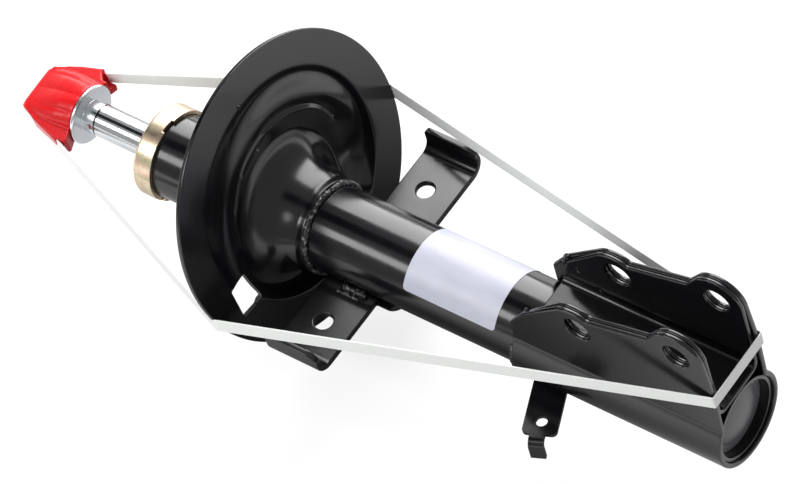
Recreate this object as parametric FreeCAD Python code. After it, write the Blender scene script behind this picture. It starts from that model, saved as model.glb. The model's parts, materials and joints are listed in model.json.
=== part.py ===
import FreeCAD, Part
import math
import os
from FreeCAD import Vector

# A suspension strut for the front axle, as it is delivered: nearly compressed and held by a strap.
# All lengths are in millimetres. X runs along the strut from the rod end to the knuckle end, Z points
# the way the knuckle ears stand, and Y runs across the ears. While it is modelled, the strut axis is
# the X axis and X = 0 is the end face of the knuckle bracket. The last step moves everything so that
# the origin is the centre of the lower knuckle bolt hole.

# Strut tube
tube_od = 51.0
tube_wall = 2.5
tube_length = 397.0
tube_inset = 2.0

# Base cap, the domed floor of the tube
base_floor_depth = 8.0
base_floor_thickness = 3.0
base_dome_d = 37.0
base_dome_height = 4.0
base_skirt_length = 9.0
base_skirt_wall = 2.5

# Inner cylinder and base valve
cylinder_bore = 32.0
cylinder_wall = 1.75
valve_foot_height = 5.0
valve_flange_thickness = 3.5
valve_spigot_length = 10.0
valve_foot_wall = 4.0
valve_foot_count = 4
valve_foot_slot = 7.0
valve_port_d = 4.0
valve_port_count = 6
valve_port_circle_d = 19.0
valve_bolt_d = 6.0
valve_bolt_head_d = 10.0
valve_bolt_head_height = 2.4
check_plate_d = 27.0
check_plate_thickness = 0.8
check_plate_lift = 1.0
plate_spare = 0.4

# Rod guide, bush, seal and closing ring at the top of the tube
closing_ring_thickness = 3.0
closing_ring_bore = 25.0
seal_thickness = 4.0
guide_body_length = 12.0
guide_spigot_length = 8.0
guide_oil_groove_d = 40.0
guide_oil_groove_depth = 3.0
bush_wall = 1.5
bush_length = 18.0

# Bump stop cap, pressed over the top of the tube
bump_cap_wall = 2.6
bump_cap_skirt = 13.0
bump_cap_edge_radius = 2.2
bump_cap_hole_d = 22.6
bump_cap_notch_count = 3
bump_cap_notch_width = 9.0
bump_cap_notch_depth = 1.6

# Piston rod
rod_d = 20.0
rod_exposed = 43.7
rod_pin_d = 12.0
rod_pin_length = 31.0
stud_d = 14.0
stud_length = 36.0
stud_chamfer = 1.2

# Piston assembly, on the pin at the inner end of the rod
rod_length = 356.7
support_washer_d = 24.0
support_washer_thickness = 2.0
piston_d = 31.0
piston_length = 14.0
piston_port_d = 3.6
piston_port_count = 6
piston_port_circle_d = 20.0
band_width = 8.0
band_depth = 1.0
disc_stack_thickness = 2.4
disc_stack_d = 26.0
disc_count = 3
nut_flats = 18.0
nut_height = 8.0

# Rebound stop on the rod
extension_travel = 150.0
compression_travel = 18.0
stop_ring_d = 29.0
stop_ring_height = 6.0
stop_groove_depth = 1.0
stop_groove_width = 3.0
rebound_buffer_d = 29.5
rebound_buffer_height = 8.0

# Flanged spacer at the outer end of the rod
spacer_sleeve_length = 8.0
spacer_flange_d = 36.8
spacer_flange_thickness = 2.6
spacer_edge_radius = 0.8

# Knuckle bracket, a wrapped outer sheet with two ears
wrap_thickness = 3.2
wrap_length = 136.0
ear_gap = 34.0
crease_radius = 3.0
bore_d = 16.2
lower_bore_depth = 20.0
lower_bore_height = 76.5
upper_bore_depth = 86.5
upper_bore_height = 56.8
lower_boss_radius = 17.0
upper_boss_crown = 14.2
boss_half_width = 9.6
ear_waist_rise = 10.9
ear_waist_step = 19.0
ear_toe_height = 46.3
ear_toe_inset = 11.5
ear_toe_corner_height = 31.0
ear_root_height = 50.0

# Channel that stiffens the ears from inside
channel_thickness = 2.8
channel_bend_radius = 4.0
channel_start_inset = 9.0
channel_end_inset = 2.0
channel_lean = 5.0
dimple_d = 2.6
dimple_depth = 0.9

# Stabiliser link bracket, a saddle under the tube with two wings
wing_station = 251.0
wing_width = 36.0
wing_thickness = 4.0
wing_drop = 9.9
wing_span = 162.0
wing_bend_radius = 6.0
wing_lip_height = 18.3
wing_lip_near_corner = 3.0
wing_lip_far_corner = 9.0
wing_hole_d = 11.0
wing_hole_spacing = 101.2
wing_hole_offset = 1.3
saddle_tail = 8.0

# Spring seat, a pressed pan that leans and stands off centre towards the ears
seat_station = 297.0
seat_lean = 14.4
seat_offset = 26.5
seat_d = 180.2
seat_thickness = 2.8
seat_ledge_d = 137.2
seat_step_lean = 20.4
seat_step_reach = 44.0
seat_step_outer_d = 109.0
seat_step_outer_offset = 20.0
seat_step_inner_d = 93.0
seat_step_inner_offset = 16.5
seat_hub_d = 88.0
seat_hub_offset = 14.5
seat_hub_sink = 2.2
seat_collar_station = 279.0
seat_collar_lean = 5.0
seat_collar_length = 4.0
seat_slot_width = 15.0
seat_slot_height = 20.5
seat_slot_side = 60.5
seat_slot_offset = -0.6
seat_drain_d = 3.6
seat_drain_outer = 95.3
seat_drain_outer_side = -4.0
seat_drain_inner_gap = 3.9
seat_drain_inner_side = -6.5
seat_cut_reach = 40.0

# Brake hose bracket under the knuckle end
hose_plate_thickness = 2.5
hose_plate_width = 20.0
hose_plate_drop = 25.0
hose_hole_depth = 113.0
hose_hole_side = 41.5
hose_hole_d = 6.8
hose_turn = 22.0
hose_tip_reach = 8.4
hose_root_reach = 31.0
hose_corner_radius = 3.0
hose_hook_width = 8.8
hose_hook_reach = 15.5
hose_hook_drop = 14.0
hose_hook_bend = 2.5
hose_hook_shift = 0.8

# Weld beads
bead_radius = 2.4
seat_bead_radius = 1.8
wing_bead_length = 13.0
wing_bead_shift = 3.5
wing_bead_set = 2.4
hose_bead_length = 16.0
ear_bead_length = 7.0

# Label
label_length = 62.0
label_arc = 142.0
label_start_angle = 10.0
label_thickness = 0.15
label_station = 150.0
label_glue = 0.05

# Transport cap over the stud
cap_top_length = 29.0
cap_top_depth = 12.0
cap_base_d = 35.0
cap_height = 38.0
cap_crown_radius = 2.5
cap_flute_count = 10
cap_flute_radius = 7.0
cap_flute_depth = 1.5
cap_foot_reach = 25.2
cap_turn = 4.0
cap_foot_length = 20.0
cap_foot_depth = 13.0
cap_foot_wall = 1.2
cap_foot_toe = 4.0
cap_slot_depth = 5.5

# Transport strap
strap_width = 9.6
strap_thickness = 0.8
strap_ear_height = 48.5
strap_seat_near = 5.0
strap_seat_far = 10.0
strap_bend = 2.0
strap_rim_spare = 2.0

# Clearances
rod_clearance = 0.04
band_clearance = 0.05
pin_clearance = 0.06
turning_gap = 0.35
strap_gap = 0.2

# Stations and radii that follow from the sizes above
tube_r = tube_od / 2
tube_inner_r = tube_r - tube_wall
tube_bottom_x = -tube_inset
tube_top_x = tube_bottom_x - tube_length
bump_top_x = tube_top_x - bump_cap_wall
shoulder_x = bump_top_x - rod_exposed
spacer_face_x = shoulder_x - spacer_sleeve_length
spacer_back_x = spacer_face_x - spacer_flange_thickness
floor_x = -base_floor_depth
floor_inner_x = floor_x - base_floor_thickness
cylinder_r = cylinder_bore / 2
cylinder_outer_r = cylinder_r + cylinder_wall
valve_flange_x = floor_inner_x - valve_foot_height
cylinder_bottom_x = valve_flange_x - valve_flange_thickness
valve_top_x = cylinder_bottom_x - valve_spigot_length
ring_x = tube_top_x + closing_ring_thickness
seal_x = ring_x + seal_thickness
guide_step_x = seal_x + guide_body_length
guide_bottom_x = guide_step_x + guide_spigot_length
rod_r = rod_d / 2
rod_end_x = shoulder_x + rod_length
pin_r = rod_pin_d / 2
plate_seat_x = rod_end_x + support_washer_thickness + check_plate_lift + plate_spare
piston_top_x = plate_seat_x + check_plate_thickness
piston_bottom_x = piston_top_x + piston_length
stack_bottom_x = piston_bottom_x + disc_stack_thickness
nut_bottom_x = stack_bottom_x + nut_height
buffer_top_x = guide_bottom_x + extension_travel
buffer_bottom_x = buffer_top_x + rebound_buffer_height
stop_bottom_x = buffer_bottom_x + stop_ring_height
channel_face_y = ear_gap / 2
ear_inner_y = channel_face_y + channel_thickness
ear_outer_y = ear_inner_y + wrap_thickness
wrap_r = tube_r + wrap_thickness
lower_bore_x = -lower_bore_depth
upper_bore_x = -upper_bore_depth
ear_toe_depth = wrap_length - ear_toe_inset
channel_start = wrap_length - channel_start_inset
wing_low_z = -wing_drop - wing_thickness
wing_side_y = wing_span / 2
saddle_r = tube_r + wing_thickness
wing_start_x = -wing_station - wing_width / 2
wing_end_x = -wing_station + wing_width / 2
wing_hole_x = -wing_station - wing_hole_offset
cap_open_x = spacer_back_x - turning_gap
cap_crown_x = cap_open_x - cap_height
strap_leave_x = cap_open_x - cap_foot_toe
seat_drain_inner = seat_hub_offset + seat_hub_d / 2 + seat_drain_inner_gap
far = 400.0


def bar(radius, x_a, x_b):
    """Round bar along the strut axis between two stations."""
    low = min(x_a, x_b)
    return Part.makeCylinder(radius, abs(x_b - x_a), Vector(low, 0, 0), Vector(1, 0, 0))


def ring(outer_r, inner_r, x_a, x_b):
    """Round ring along the strut axis between two stations."""
    return bar(outer_r, x_a, x_b).cut(bar(inner_r, x_a - 1, x_b + 1) if x_a < x_b else bar(inner_r, x_b - 1, x_a + 1))


def block(x_a, x_b, y_a, y_b, z_a, z_b):
    """Box between two corners."""
    corner = Vector(min(x_a, x_b), min(y_a, y_b), min(z_a, z_b))
    return Part.makeBox(abs(x_b - x_a), abs(y_b - y_a), abs(z_b - z_a), corner)


def spin(profile):
    """Solid of revolution about the strut axis from (x, radius) corners."""
    corners = [Vector(x, 0, r) for x, r in profile]
    face = Part.Face(Part.makePolygon(corners + corners[:1]))
    return face.revolve(Vector(0, 0, 0), Vector(1, 0, 0), 360)


def outline(start, steps, lift):
    """Closed wire from a start point and steps; a step is an end point, or a middle and an end."""
    edges = []
    here = lift(*start)
    for step in steps:
        if len(step) == 1:
            there = lift(*step[0])
            edges.append(Part.LineSegment(here, there).toShape())
        else:
            middle = lift(*step[0])
            there = lift(*step[1])
            edges.append(Part.Arc(here, middle, there).toShape())
        here = there
    return Part.Wire(edges)


def in_yz(x):
    """Lift (y, z) points into the cross-section at station x."""
    return lambda y, z: Vector(x, y, z)


def in_xz(y):
    """Lift (x, z) points into the side plane at y."""
    return lambda x, z: Vector(x, y, z)


def on_circle(centre, radius, degrees):
    """Point on a circle in the plane of an outline."""
    angle = math.radians(degrees)
    return (centre[0] + radius * math.cos(angle), centre[1] + radius * math.sin(angle))


def cross_hole(x, z, diameter):
    """Hole across both ears, along Y."""
    return Part.makeCylinder(diameter / 2, 2 * far, Vector(x, -far, z), Vector(0, 1, 0))


def upright_hole(x, y, diameter):
    """Hole along Z, through everything there."""
    return Part.makeCylinder(diameter / 2, 2 * far, Vector(x, y, -far), Vector(0, 0, 1))


def around_axis(shape, count):
    """The shape repeated evenly about the strut axis."""
    copies = []
    for index in range(count):
        copy = shape.copy()
        copy.rotate(Vector(0, 0, 0), Vector(1, 0, 0), 360.0 * index / count)
        copies.append(copy)
    return copies


# Strut tube and its floor
def make_outer_tube():
    return ring(tube_r, tube_inner_r, tube_top_x, tube_bottom_x)


def make_base_cap():
    skirt_x = floor_x - base_skirt_length
    dome_r = base_dome_d / 2
    sphere_r = (dome_r ** 2 + base_dome_height ** 2) / (2 * base_dome_height)
    centre = Vector(floor_x + base_dome_height - sphere_r, 0, 0)
    dome = Part.makeSphere(sphere_r, centre).common(bar(tube_inner_r, floor_x, floor_x + base_dome_height + 1))
    inner = Part.makeSphere(sphere_r - base_floor_thickness, centre)
    inner = inner.common(bar(tube_inner_r, floor_inner_x, 0))
    floor = bar(tube_inner_r, floor_inner_x, floor_x).fuse(dome).cut(inner)
    return floor.fuse(ring(tube_inner_r, tube_inner_r - base_skirt_wall, skirt_x, floor_inner_x)).removeSplitter()


# Inner cylinder, base valve and its check plate
def make_inner_cylinder():
    return ring(cylinder_outer_r, cylinder_r, guide_step_x, cylinder_bottom_x)


def make_base_valve_body():
    foot = ring(cylinder_outer_r, cylinder_outer_r - valve_foot_wall, valve_flange_x, floor_inner_x)
    slot = block(valve_flange_x, floor_inner_x, -valve_foot_slot / 2, valve_foot_slot / 2, 0, far)
    for opening in around_axis(slot, valve_foot_count):
        foot = foot.cut(opening)
    body = bar(cylinder_outer_r, cylinder_bottom_x, valve_flange_x)
    body = body.fuse(bar(cylinder_r, valve_top_x, cylinder_bottom_x)).fuse(foot)
    port = bar(valve_port_d / 2, valve_top_x - 1, floor_inner_x)
    port.translate(Vector(0, 0, valve_port_circle_d / 2))
    for hole in around_axis(port, valve_port_count):
        body = body.cut(hole)
    return body.cut(bar(valve_bolt_d / 2, valve_top_x - 1, floor_inner_x)).removeSplitter()


def make_base_check_plate():
    plate_r = check_plate_d / 2
    return ring(plate_r, valve_bolt_d / 2 + pin_clearance, valve_top_x - check_plate_thickness, valve_top_x)


def make_base_valve_bolt():
    head_x = valve_top_x - check_plate_thickness - check_plate_lift - plate_spare
    shank = bar(valve_bolt_d / 2, head_x, valve_flange_x)
    head = bar(valve_bolt_head_d / 2, head_x - valve_bolt_head_height, head_x)
    rivet = bar(valve_bolt_head_d / 2, valve_flange_x, valve_flange_x + valve_bolt_head_height)
    return shank.fuse([head, rivet]).removeSplitter()


# Rod guide, bush, seal and closing ring
def make_rod_guide():
    body = bar(tube_inner_r, seal_x, guide_step_x).fuse(bar(cylinder_r, guide_step_x, guide_bottom_x))
    body = body.cut(bar(rod_r + rod_clearance + bush_wall, seal_x - 1, guide_bottom_x + 1))
    groove = ring(guide_oil_groove_d / 2, cylinder_outer_r + 1, guide_step_x - guide_oil_groove_depth, guide_step_x)
    return body.cut(groove).removeSplitter()


def make_guide_bush():
    inner_r = rod_r + rod_clearance
    return ring(inner_r + bush_wall, inner_r, guide_bottom_x - bush_length, guide_bottom_x)


def make_rod_seal():
    return ring(tube_inner_r, rod_r + rod_clearance, ring_x, seal_x)


def make_closing_ring():
    return ring(tube_inner_r, closing_ring_bore / 2, tube_top_x, ring_x)


def make_bump_stop_cap():
    outer_r = tube_r + bump_cap_wall
    skirt_x = bump_top_x + bump_cap_skirt
    shell = bar(outer_r, bump_top_x, skirt_x)
    top_edges = [e for e in shell.Edges if abs(e.BoundBox.XMax - bump_top_x) < 0.01 and len(e.Vertexes) == 1]
    shell = shell.makeFillet(bump_cap_edge_radius, top_edges[:1])
    shell = shell.cut(bar(tube_r, tube_top_x, skirt_x + 1)).cut(bar(bump_cap_hole_d / 2, bump_top_x - 1, 0))
    half = bump_cap_notch_width / 2
    notch = block(skirt_x - bump_cap_notch_depth, skirt_x + 1, -half, half, 0, far)
    for opening in around_axis(notch, bump_cap_notch_count):
        shell = shell.cut(opening)
    return shell


# Rod and what it carries
def make_piston_rod():
    tip_x = shoulder_x - stud_length
    bottom_x = rod_end_x + rod_pin_length
    stud_r = stud_d / 2
    profile = [(tip_x, 0), (tip_x, stud_r - stud_chamfer), (tip_x + stud_chamfer, stud_r), (shoulder_x, stud_r),
               (shoulder_x, rod_r), (rod_end_x, rod_r), (rod_end_x, pin_r), (bottom_x, pin_r), (bottom_x, 0)]
    rod = spin(profile)
    groove_x = buffer_bottom_x + stop_ring_height / 2
    half = stop_groove_width / 2
    return rod.cut(ring(rod_r + 1, rod_r - stop_groove_depth, groove_x - half, groove_x + half))


def make_support_washer():
    return ring(support_washer_d / 2, pin_r, rod_end_x, rod_end_x + support_washer_thickness)


def make_piston_check_plate():
    return ring(check_plate_d / 2, pin_r + pin_clearance, plate_seat_x, piston_top_x)


def make_piston():
    body = ring(piston_d / 2, pin_r, piston_top_x, piston_bottom_x)
    middle = (piston_top_x + piston_bottom_x) / 2
    half = band_width / 2 + pin_clearance
    body = body.cut(ring(piston_d, piston_d / 2 - band_depth, middle - half, middle + half))
    port = bar(piston_port_d / 2, piston_top_x - 1, piston_bottom_x + 1)
    port.translate(Vector(0, 0, piston_port_circle_d / 2))
    for hole in around_axis(port, piston_port_count):
        body = body.cut(hole)
    return body


def make_piston_band():
    middle = (piston_top_x + piston_bottom_x) / 2
    inner_r = piston_d / 2 - band_depth + band_clearance
    return ring(cylinder_r - band_clearance, inner_r, middle - band_width / 2, middle + band_width / 2)


def make_piston_discs():
    step = disc_stack_thickness / disc_count
    discs = []
    for index in range(disc_count):
        start = piston_bottom_x + index * step
        discs.append(ring(disc_stack_d / 2 - index * disc_count, pin_r, start, start + step))
    return discs[0].fuse(discs[1:]).removeSplitter()


def make_piston_nut():
    radius = nut_flats / math.sqrt(3)
    corners = [Vector(stack_bottom_x, *on_circle((0, 0), radius, 60 * k)) for k in range(6)]
    prism = Part.Face(Part.makePolygon(corners + corners[:1])).extrude(Vector(nut_height, 0, 0))
    return prism.cut(bar(pin_r, stack_bottom_x - 1, nut_bottom_x + 1))


def make_rebound_stop():
    body = ring(stop_ring_d / 2, rod_r, buffer_bottom_x, stop_bottom_x)
    groove_x = buffer_bottom_x + stop_ring_height / 2
    half = stop_groove_width / 2
    return body.fuse(ring(rod_r, rod_r - stop_groove_depth, groove_x - half, groove_x + half)).removeSplitter()


def make_rebound_buffer():
    return ring(rebound_buffer_d / 2, rod_r, buffer_top_x, buffer_bottom_x)


def make_top_spacer():
    flange_r = spacer_flange_d / 2
    edge = spacer_edge_radius
    profile = [(shoulder_x, stud_d / 2), (shoulder_x, rod_r), (spacer_face_x, rod_r), (spacer_face_x, flange_r - edge),
               (spacer_face_x - edge, flange_r), (spacer_back_x + edge, flange_r), (spacer_back_x, flange_r - edge),
               (spacer_back_x, stud_d / 2)]
    return spin(profile)


# Knuckle bracket and the channel inside it
def ear_outline(start_low, start_high, end_x):
    """Side outline shared by the outer ears and the channel, from the end face round to the toe."""
    low = (lower_bore_x, lower_bore_height)
    up = (upper_bore_x, upper_bore_height)
    notch = on_circle(low, lower_boss_radius, 130)
    step_foot = (lower_bore_x - ear_waist_step, low[1] + ear_waist_rise - 8.0)
    crown_end = (up[0] + boss_half_width - 2.0, up[1] + upper_boss_crown - 2.8)
    crown_top = (up[0] - 2.5, up[1] + upper_boss_crown)
    crown_start = (up[0] - boss_half_width - 2.0, up[1] + upper_boss_crown - 2.4)
    steps = [[(end_x, ear_root_height)], [on_circle(low, lower_boss_radius, 8)],
             [on_circle(low, lower_boss_radius, 75), notch], [step_foot], [crown_end], [crown_top, crown_start],
             [(start_high, ear_toe_height)], [(start_low, ear_toe_corner_height)], [(start_low, -far)],
             [(end_x, -far)]]
    return outline((end_x, -far), steps, in_xz(-far))


def side_prism(wire):
    """Prism of a side outline, through the whole width of the strut."""
    return Part.Face(wire).extrude(Vector(0, 2 * far, 0))


def make_knuckle_bracket():
    crease_z = math.sqrt(wrap_r ** 2 - ear_outer_y ** 2)
    root_z = math.sqrt(tube_r ** 2 - ear_inner_y ** 2)
    top = lower_bore_height + lower_boss_radius + 10
    steps = [[(ear_outer_y, crease_z)], [(0, -wrap_r), (-ear_outer_y, crease_z)], [(-ear_outer_y, top)],
             [(-ear_inner_y, top)], [(-ear_inner_y, root_z)], [(0, -tube_r), (ear_inner_y, root_z)],
             [(ear_inner_y, top)], [(ear_outer_y, top)]]
    section = Part.Face(outline((ear_outer_y, top), steps, in_yz(-wrap_length)))
    sheet = section.extrude(Vector(wrap_length, 0, 0))
    creases = [e for e in sheet.Edges if abs(abs(e.CenterOfMass.y) - ear_outer_y) < 0.01
               and abs(e.CenterOfMass.z - crease_z) < 0.01]
    sheet = sheet.makeFillet(crease_radius, creases)
    sheet = sheet.common(side_prism(ear_outline(-wrap_length, -ear_toe_depth, 0)))
    for x, z in ((lower_bore_x, lower_bore_height), (upper_bore_x, upper_bore_height)):
        sheet = sheet.cut(cross_hole(x, z, bore_d))
    return sheet


def make_knuckle_channel():
    inner_y = channel_face_y
    outer_y = ear_inner_y
    web_z = tube_r
    floor_z = web_z + channel_thickness
    bend = channel_bend_radius
    outer_bend = bend + channel_thickness
    top = lower_bore_height + lower_boss_radius + 10
    corner = (inner_y - bend, floor_z + bend)
    inner_mid = on_circle(corner, bend, -45)
    outer_mid = on_circle(corner, outer_bend, -45)
    steps = [[(outer_y, corner[1])], [outer_mid, (corner[0], web_z)], [(-corner[0], web_z)],
             [(-outer_mid[0], outer_mid[1]), (-outer_y, corner[1])], [(-outer_y, top)], [(-inner_y, top)],
             [(-inner_y, corner[1])], [(-inner_mid[0], inner_mid[1]), (-corner[0], floor_z)], [(corner[0], floor_z)],
             [inner_mid, (inner_y, corner[1])], [(inner_y, top)], [(outer_y, top)]]
    section = Part.Face(outline((outer_y, top), steps, in_yz(-channel_start)))
    channel = section.extrude(Vector(channel_start - channel_end_inset, 0, 0))
    outline_wire = ear_outline(-channel_start, -ear_toe_depth + channel_lean / 2, -channel_end_inset)
    channel = channel.common(side_prism(outline_wire))
    for x, z in ((lower_bore_x, lower_bore_height), (upper_bore_x, upper_bore_height)):
        channel = channel.cut(cross_hole(x, z, bore_d))
    for x, z in dimple_places():
        for side in (-1, 1):
            start = Vector(x, side * (inner_y - 1), z)
            depth = 1 + dimple_depth
            channel = channel.cut(Part.makeCylinder(dimple_d / 2, depth, start, Vector(0, side, 0)))
    return channel


def dimple_places():
    """Spot welds that hold the channel's flanges to the ears, as shallow round dimples."""
    return ((upper_bore_x - 29.0, upper_bore_height - 14.0), (upper_bore_x - 16.0, upper_bore_height - 24.0))


# Stabiliser link bracket
def make_stabiliser_bracket():
    top_z = -wing_drop
    low_z = wing_low_z
    outer_bend = wing_bend_radius + wing_thickness
    lip_z = low_z + wing_lip_height
    bend_y = wing_side_y - outer_bend
    bend_z = low_z + outer_bend
    inner_y = math.sqrt(tube_r ** 2 - top_z ** 2)
    saddle_y = math.sqrt(saddle_r ** 2 - low_z ** 2)
    inside = on_circle((bend_y, bend_z), wing_bend_radius, -45)
    outside = on_circle((bend_y, bend_z), outer_bend, -45)
    steps = [[(bend_y, top_z)], [inside, (wing_side_y - wing_thickness, bend_z)],
             [(wing_side_y - wing_thickness, lip_z)], [(wing_side_y, lip_z)], [(wing_side_y, bend_z)],
             [outside, (bend_y, low_z)], [(saddle_y, low_z)], [(0, -saddle_r), (-saddle_y, low_z)],
             [(-bend_y, low_z)], [(-outside[0], outside[1]), (-wing_side_y, bend_z)], [(-wing_side_y, lip_z)],
             [(-wing_side_y + wing_thickness, lip_z)], [(-wing_side_y + wing_thickness, bend_z)],
             [(-inside[0], inside[1]), (-bend_y, top_z)], [(-inner_y, top_z)], [(0, -tube_r), (inner_y, top_z)]]
    section = Part.Face(outline((inner_y, top_z), steps, in_yz(wing_start_x)))
    plate = section.extrude(Vector(wing_width, 0, 0)).common(side_prism(lip_outline()))
    tail = ring(saddle_r, tube_r, wing_end_x, wing_end_x + saddle_tail)
    tail = tail.common(block(wing_end_x, wing_end_x + saddle_tail, -far, far, -far, low_z))
    plate = plate.fuse(tail).removeSplitter()
    for side in (-1, 1):
        plate = plate.cut(upright_hole(wing_hole_x, side * wing_hole_spacing / 2, wing_hole_d))
    return plate


def lip_outline():
    """Side outline of the wings, with one small and one large rounded corner on the lip."""
    lip_z = wing_low_z + wing_lip_height
    near = wing_lip_near_corner
    wide = wing_lip_far_corner
    near_mid = on_circle((wing_start_x + near, lip_z - near), near, 135)
    wide_mid = on_circle((wing_end_x - wide, lip_z - wide), wide, 45)
    steps = [[(wing_start_x, lip_z - near)], [near_mid, (wing_start_x + near, lip_z)],
             [(wing_end_x - wide, lip_z)], [wide_mid, (wing_end_x, lip_z - wide)], [(wing_end_x, -far)],
             [(wing_start_x, -far)]]
    return outline((wing_start_x, -far), steps, in_xz(-far))


# Spring seat
def seat_stations():
    """Circles of the pan's knuckle side from collar to rim: radius, depth, offset and lean."""
    lean = seat_lean
    tilt = math.radians(lean)
    slope = math.tan(math.radians(seat_step_lean - lean))
    face = seat_thickness
    collar_depth = (seat_station - seat_collar_station) * math.cos(tilt)
    neck_depth = collar_depth - seat_collar_length
    collar_r = tube_r + seat_thickness
    outer_depth = face + slope * (seat_step_reach - seat_step_outer_offset)
    inner_depth = face + slope * (seat_step_reach - seat_step_inner_offset)
    hub_r = seat_hub_d / 2
    hub_depth = inner_depth - seat_hub_sink
    hub_lean = (seat_step_lean + lean) / 2
    stations = [(collar_r, collar_depth, 0.0, seat_collar_lean)]
    for share, rise in ((0.03, 1.0), (0.14, 0.84), (0.34, 0.68), (0.58, 0.45), (0.82, 0.18), (0.95, 0.02)):
        radius = collar_r + share * (hub_r - collar_r)
        depth = hub_depth + rise * (neck_depth - hub_depth)
        stations.append((radius, depth, share * seat_hub_offset, seat_collar_lean + share * (hub_lean - seat_collar_lean)))
    stations += [
        (hub_r, hub_depth, seat_hub_offset, hub_lean),
        (seat_step_inner_d / 2, inner_depth, seat_step_inner_offset, seat_step_lean),
        (seat_step_outer_d / 2, outer_depth, seat_step_outer_offset, seat_step_lean),
        (seat_ledge_d / 2 - 3.0, face + 0.4, seat_offset - 1, lean + 0.8),
        (seat_ledge_d / 2, face, seat_offset, lean),
        (seat_d / 2, face, seat_offset, lean),
    ]
    return stations


def seat_circle(radius, depth, offset, lean):
    """Circle of the pan: depth runs along the pan's normal, offset from the strut axis."""
    tilt = math.radians(seat_lean)
    centre = Vector(-seat_station, 0, 0)
    centre += Vector(-math.sin(tilt), 0, math.cos(tilt)) * (offset - depth * math.tan(tilt))
    centre += Vector(math.cos(tilt), 0, math.sin(tilt)) * depth
    own = math.radians(lean)
    normal = Vector(math.cos(own), 0, math.sin(own))
    return Part.Wire(Part.Edge(Part.Circle(centre, normal, radius)))


def offset_stations(stations, distance):
    """The same circles moved square to the pan's profile by the sheet thickness."""
    moved = []
    band = len(stations) - 2
    for index, (radius, depth, offset, lean) in enumerate(stations):
        before = stations[min(max(index - 1, 0), band)] if index != band else stations[band]
        after = stations[min(index + 1, len(stations) - 1)]
        run = after[0] - before[0]
        rise = after[1] - before[1]
        length = math.hypot(run, rise)
        moved.append((radius + distance * rise / length, depth - distance * run / length, offset, lean))
    return moved


def make_spring_seat():
    face = seat_stations()
    back = offset_stations(face, seat_thickness)
    wires = [seat_circle(*station) for station in face]
    wires += [seat_circle(*station) for station in reversed(back)]
    rim = len(face) - 1
    faces = []
    for index, (first, second) in enumerate(zip(wires, wires[1:] + wires[:1])):
        if index == rim - 1:
            faces.append(Part.Face(second).cut(Part.Face(first)).Faces[0])
        elif index == rim + 1:
            faces.append(Part.Face(first).cut(Part.Face(second)).Faces[0])
        else:
            faces += Part.makeRuledSurface(first.Edges[0], second.Edges[0]).Faces
    shell = Part.makeShell(faces)
    shell.sewShape()
    pan = Part.makeSolid(shell)
    if pan.Volume < 0:
        pan.reverse()
    pan = pan.cut(bar(tube_r, -far, 0).fuse(bar(tube_r, -2 * far, -far)))
    return pan.cut(seat_cutters())


def seat_cutters():
    """The square drain window on the near side and the two small locating holes."""
    tilt = math.radians(seat_lean)
    along = Vector(math.cos(tilt), 0, math.sin(tilt))
    up = Vector(-math.sin(tilt), 0, math.cos(tilt))
    start = Vector(-seat_station, 0, 0) - along * seat_cut_reach
    reach = 2 * seat_cut_reach
    half_y = seat_slot_width / 2
    half_z = seat_slot_height / 2
    corners = []
    for side, rise in ((-half_y, -half_z), (half_y, -half_z), (half_y, half_z), (-half_y, half_z)):
        corners.append(start + Vector(0, side - seat_slot_side, 0) + up * (rise + seat_slot_offset))
    cutters = [Part.Face(Part.makePolygon(corners + corners[:1])).extrude(along * reach)]
    places = ((seat_drain_outer, seat_drain_outer_side), (seat_drain_inner, seat_drain_inner_side))
    for height, side in places:
        cutters.append(Part.makeCylinder(seat_drain_d / 2, reach, start + up * height + Vector(0, side, 0), along))
    return Part.makeCompound(cutters)


# Brake hose bracket
def hose_frame(along, across, height):
    """Place a point of the hose bracket: along its length and across it, from the hole's centre."""
    turn = math.radians(hose_turn)
    x = -hose_hole_depth + along * math.sin(turn) + across * math.cos(turn)
    y = -hose_hole_side - along * math.cos(turn) + across * math.sin(turn)
    return Vector(x, y, height)


def make_hose_bracket():
    half = hose_plate_width / 2
    round_r = hose_corner_radius
    low = -hose_plate_drop - hose_plate_thickness

    def lift(along, across):
        return hose_frame(along, across, low)
    tip = hose_tip_reach
    left = on_circle((tip - round_r, -half + round_r), round_r, -45)
    right = on_circle((tip - round_r, half - round_r), round_r, 45)
    steps = [[(tip - round_r, -half)], [left, (tip, -half + round_r)], [(tip, half - round_r)],
             [right, (tip - round_r, half)], [(-hose_root_reach, half)], [(-hose_root_reach, -half)]]
    plate = Part.Face(outline((-hose_root_reach, -half), steps, lift)).extrude(Vector(0, 0, hose_plate_thickness))
    plate = plate.fuse(make_hose_hook()).removeSplitter()
    plate = plate.cut(upright_hole(-hose_hole_depth, -hose_hole_side, hose_hole_d))
    return plate.cut(bar(wrap_r, -wrap_length - 1, 1))


def make_hose_hook():
    """Narrow tongue that runs on from the plate and bends down."""
    top = -hose_plate_drop
    low = top - hose_plate_thickness
    bend = hose_hook_bend
    outer = bend + hose_plate_thickness
    centre = (hose_hook_reach - outer, top - outer)
    start_across = -hose_hook_width / 2 - hose_hook_shift

    def lift(along, height):
        return hose_frame(along, start_across, height)
    steps = [[(centre[0], top)], [on_circle(centre, outer, 45), (hose_hook_reach, centre[1])],
             [(hose_hook_reach, top - hose_hook_drop)],
             [(hose_hook_reach - hose_plate_thickness, top - hose_hook_drop)],
             [(hose_hook_reach - hose_plate_thickness, centre[1])], [on_circle(centre, bend, 45), (centre[0], low)],
             [(0.0, low)], [(0.0, top)]]
    side = Part.Face(outline((0.0, top), steps, lift))
    width = hose_frame(0, hose_hook_width, 0) - hose_frame(0, 0, 0)
    return side.extrude(width)


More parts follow.
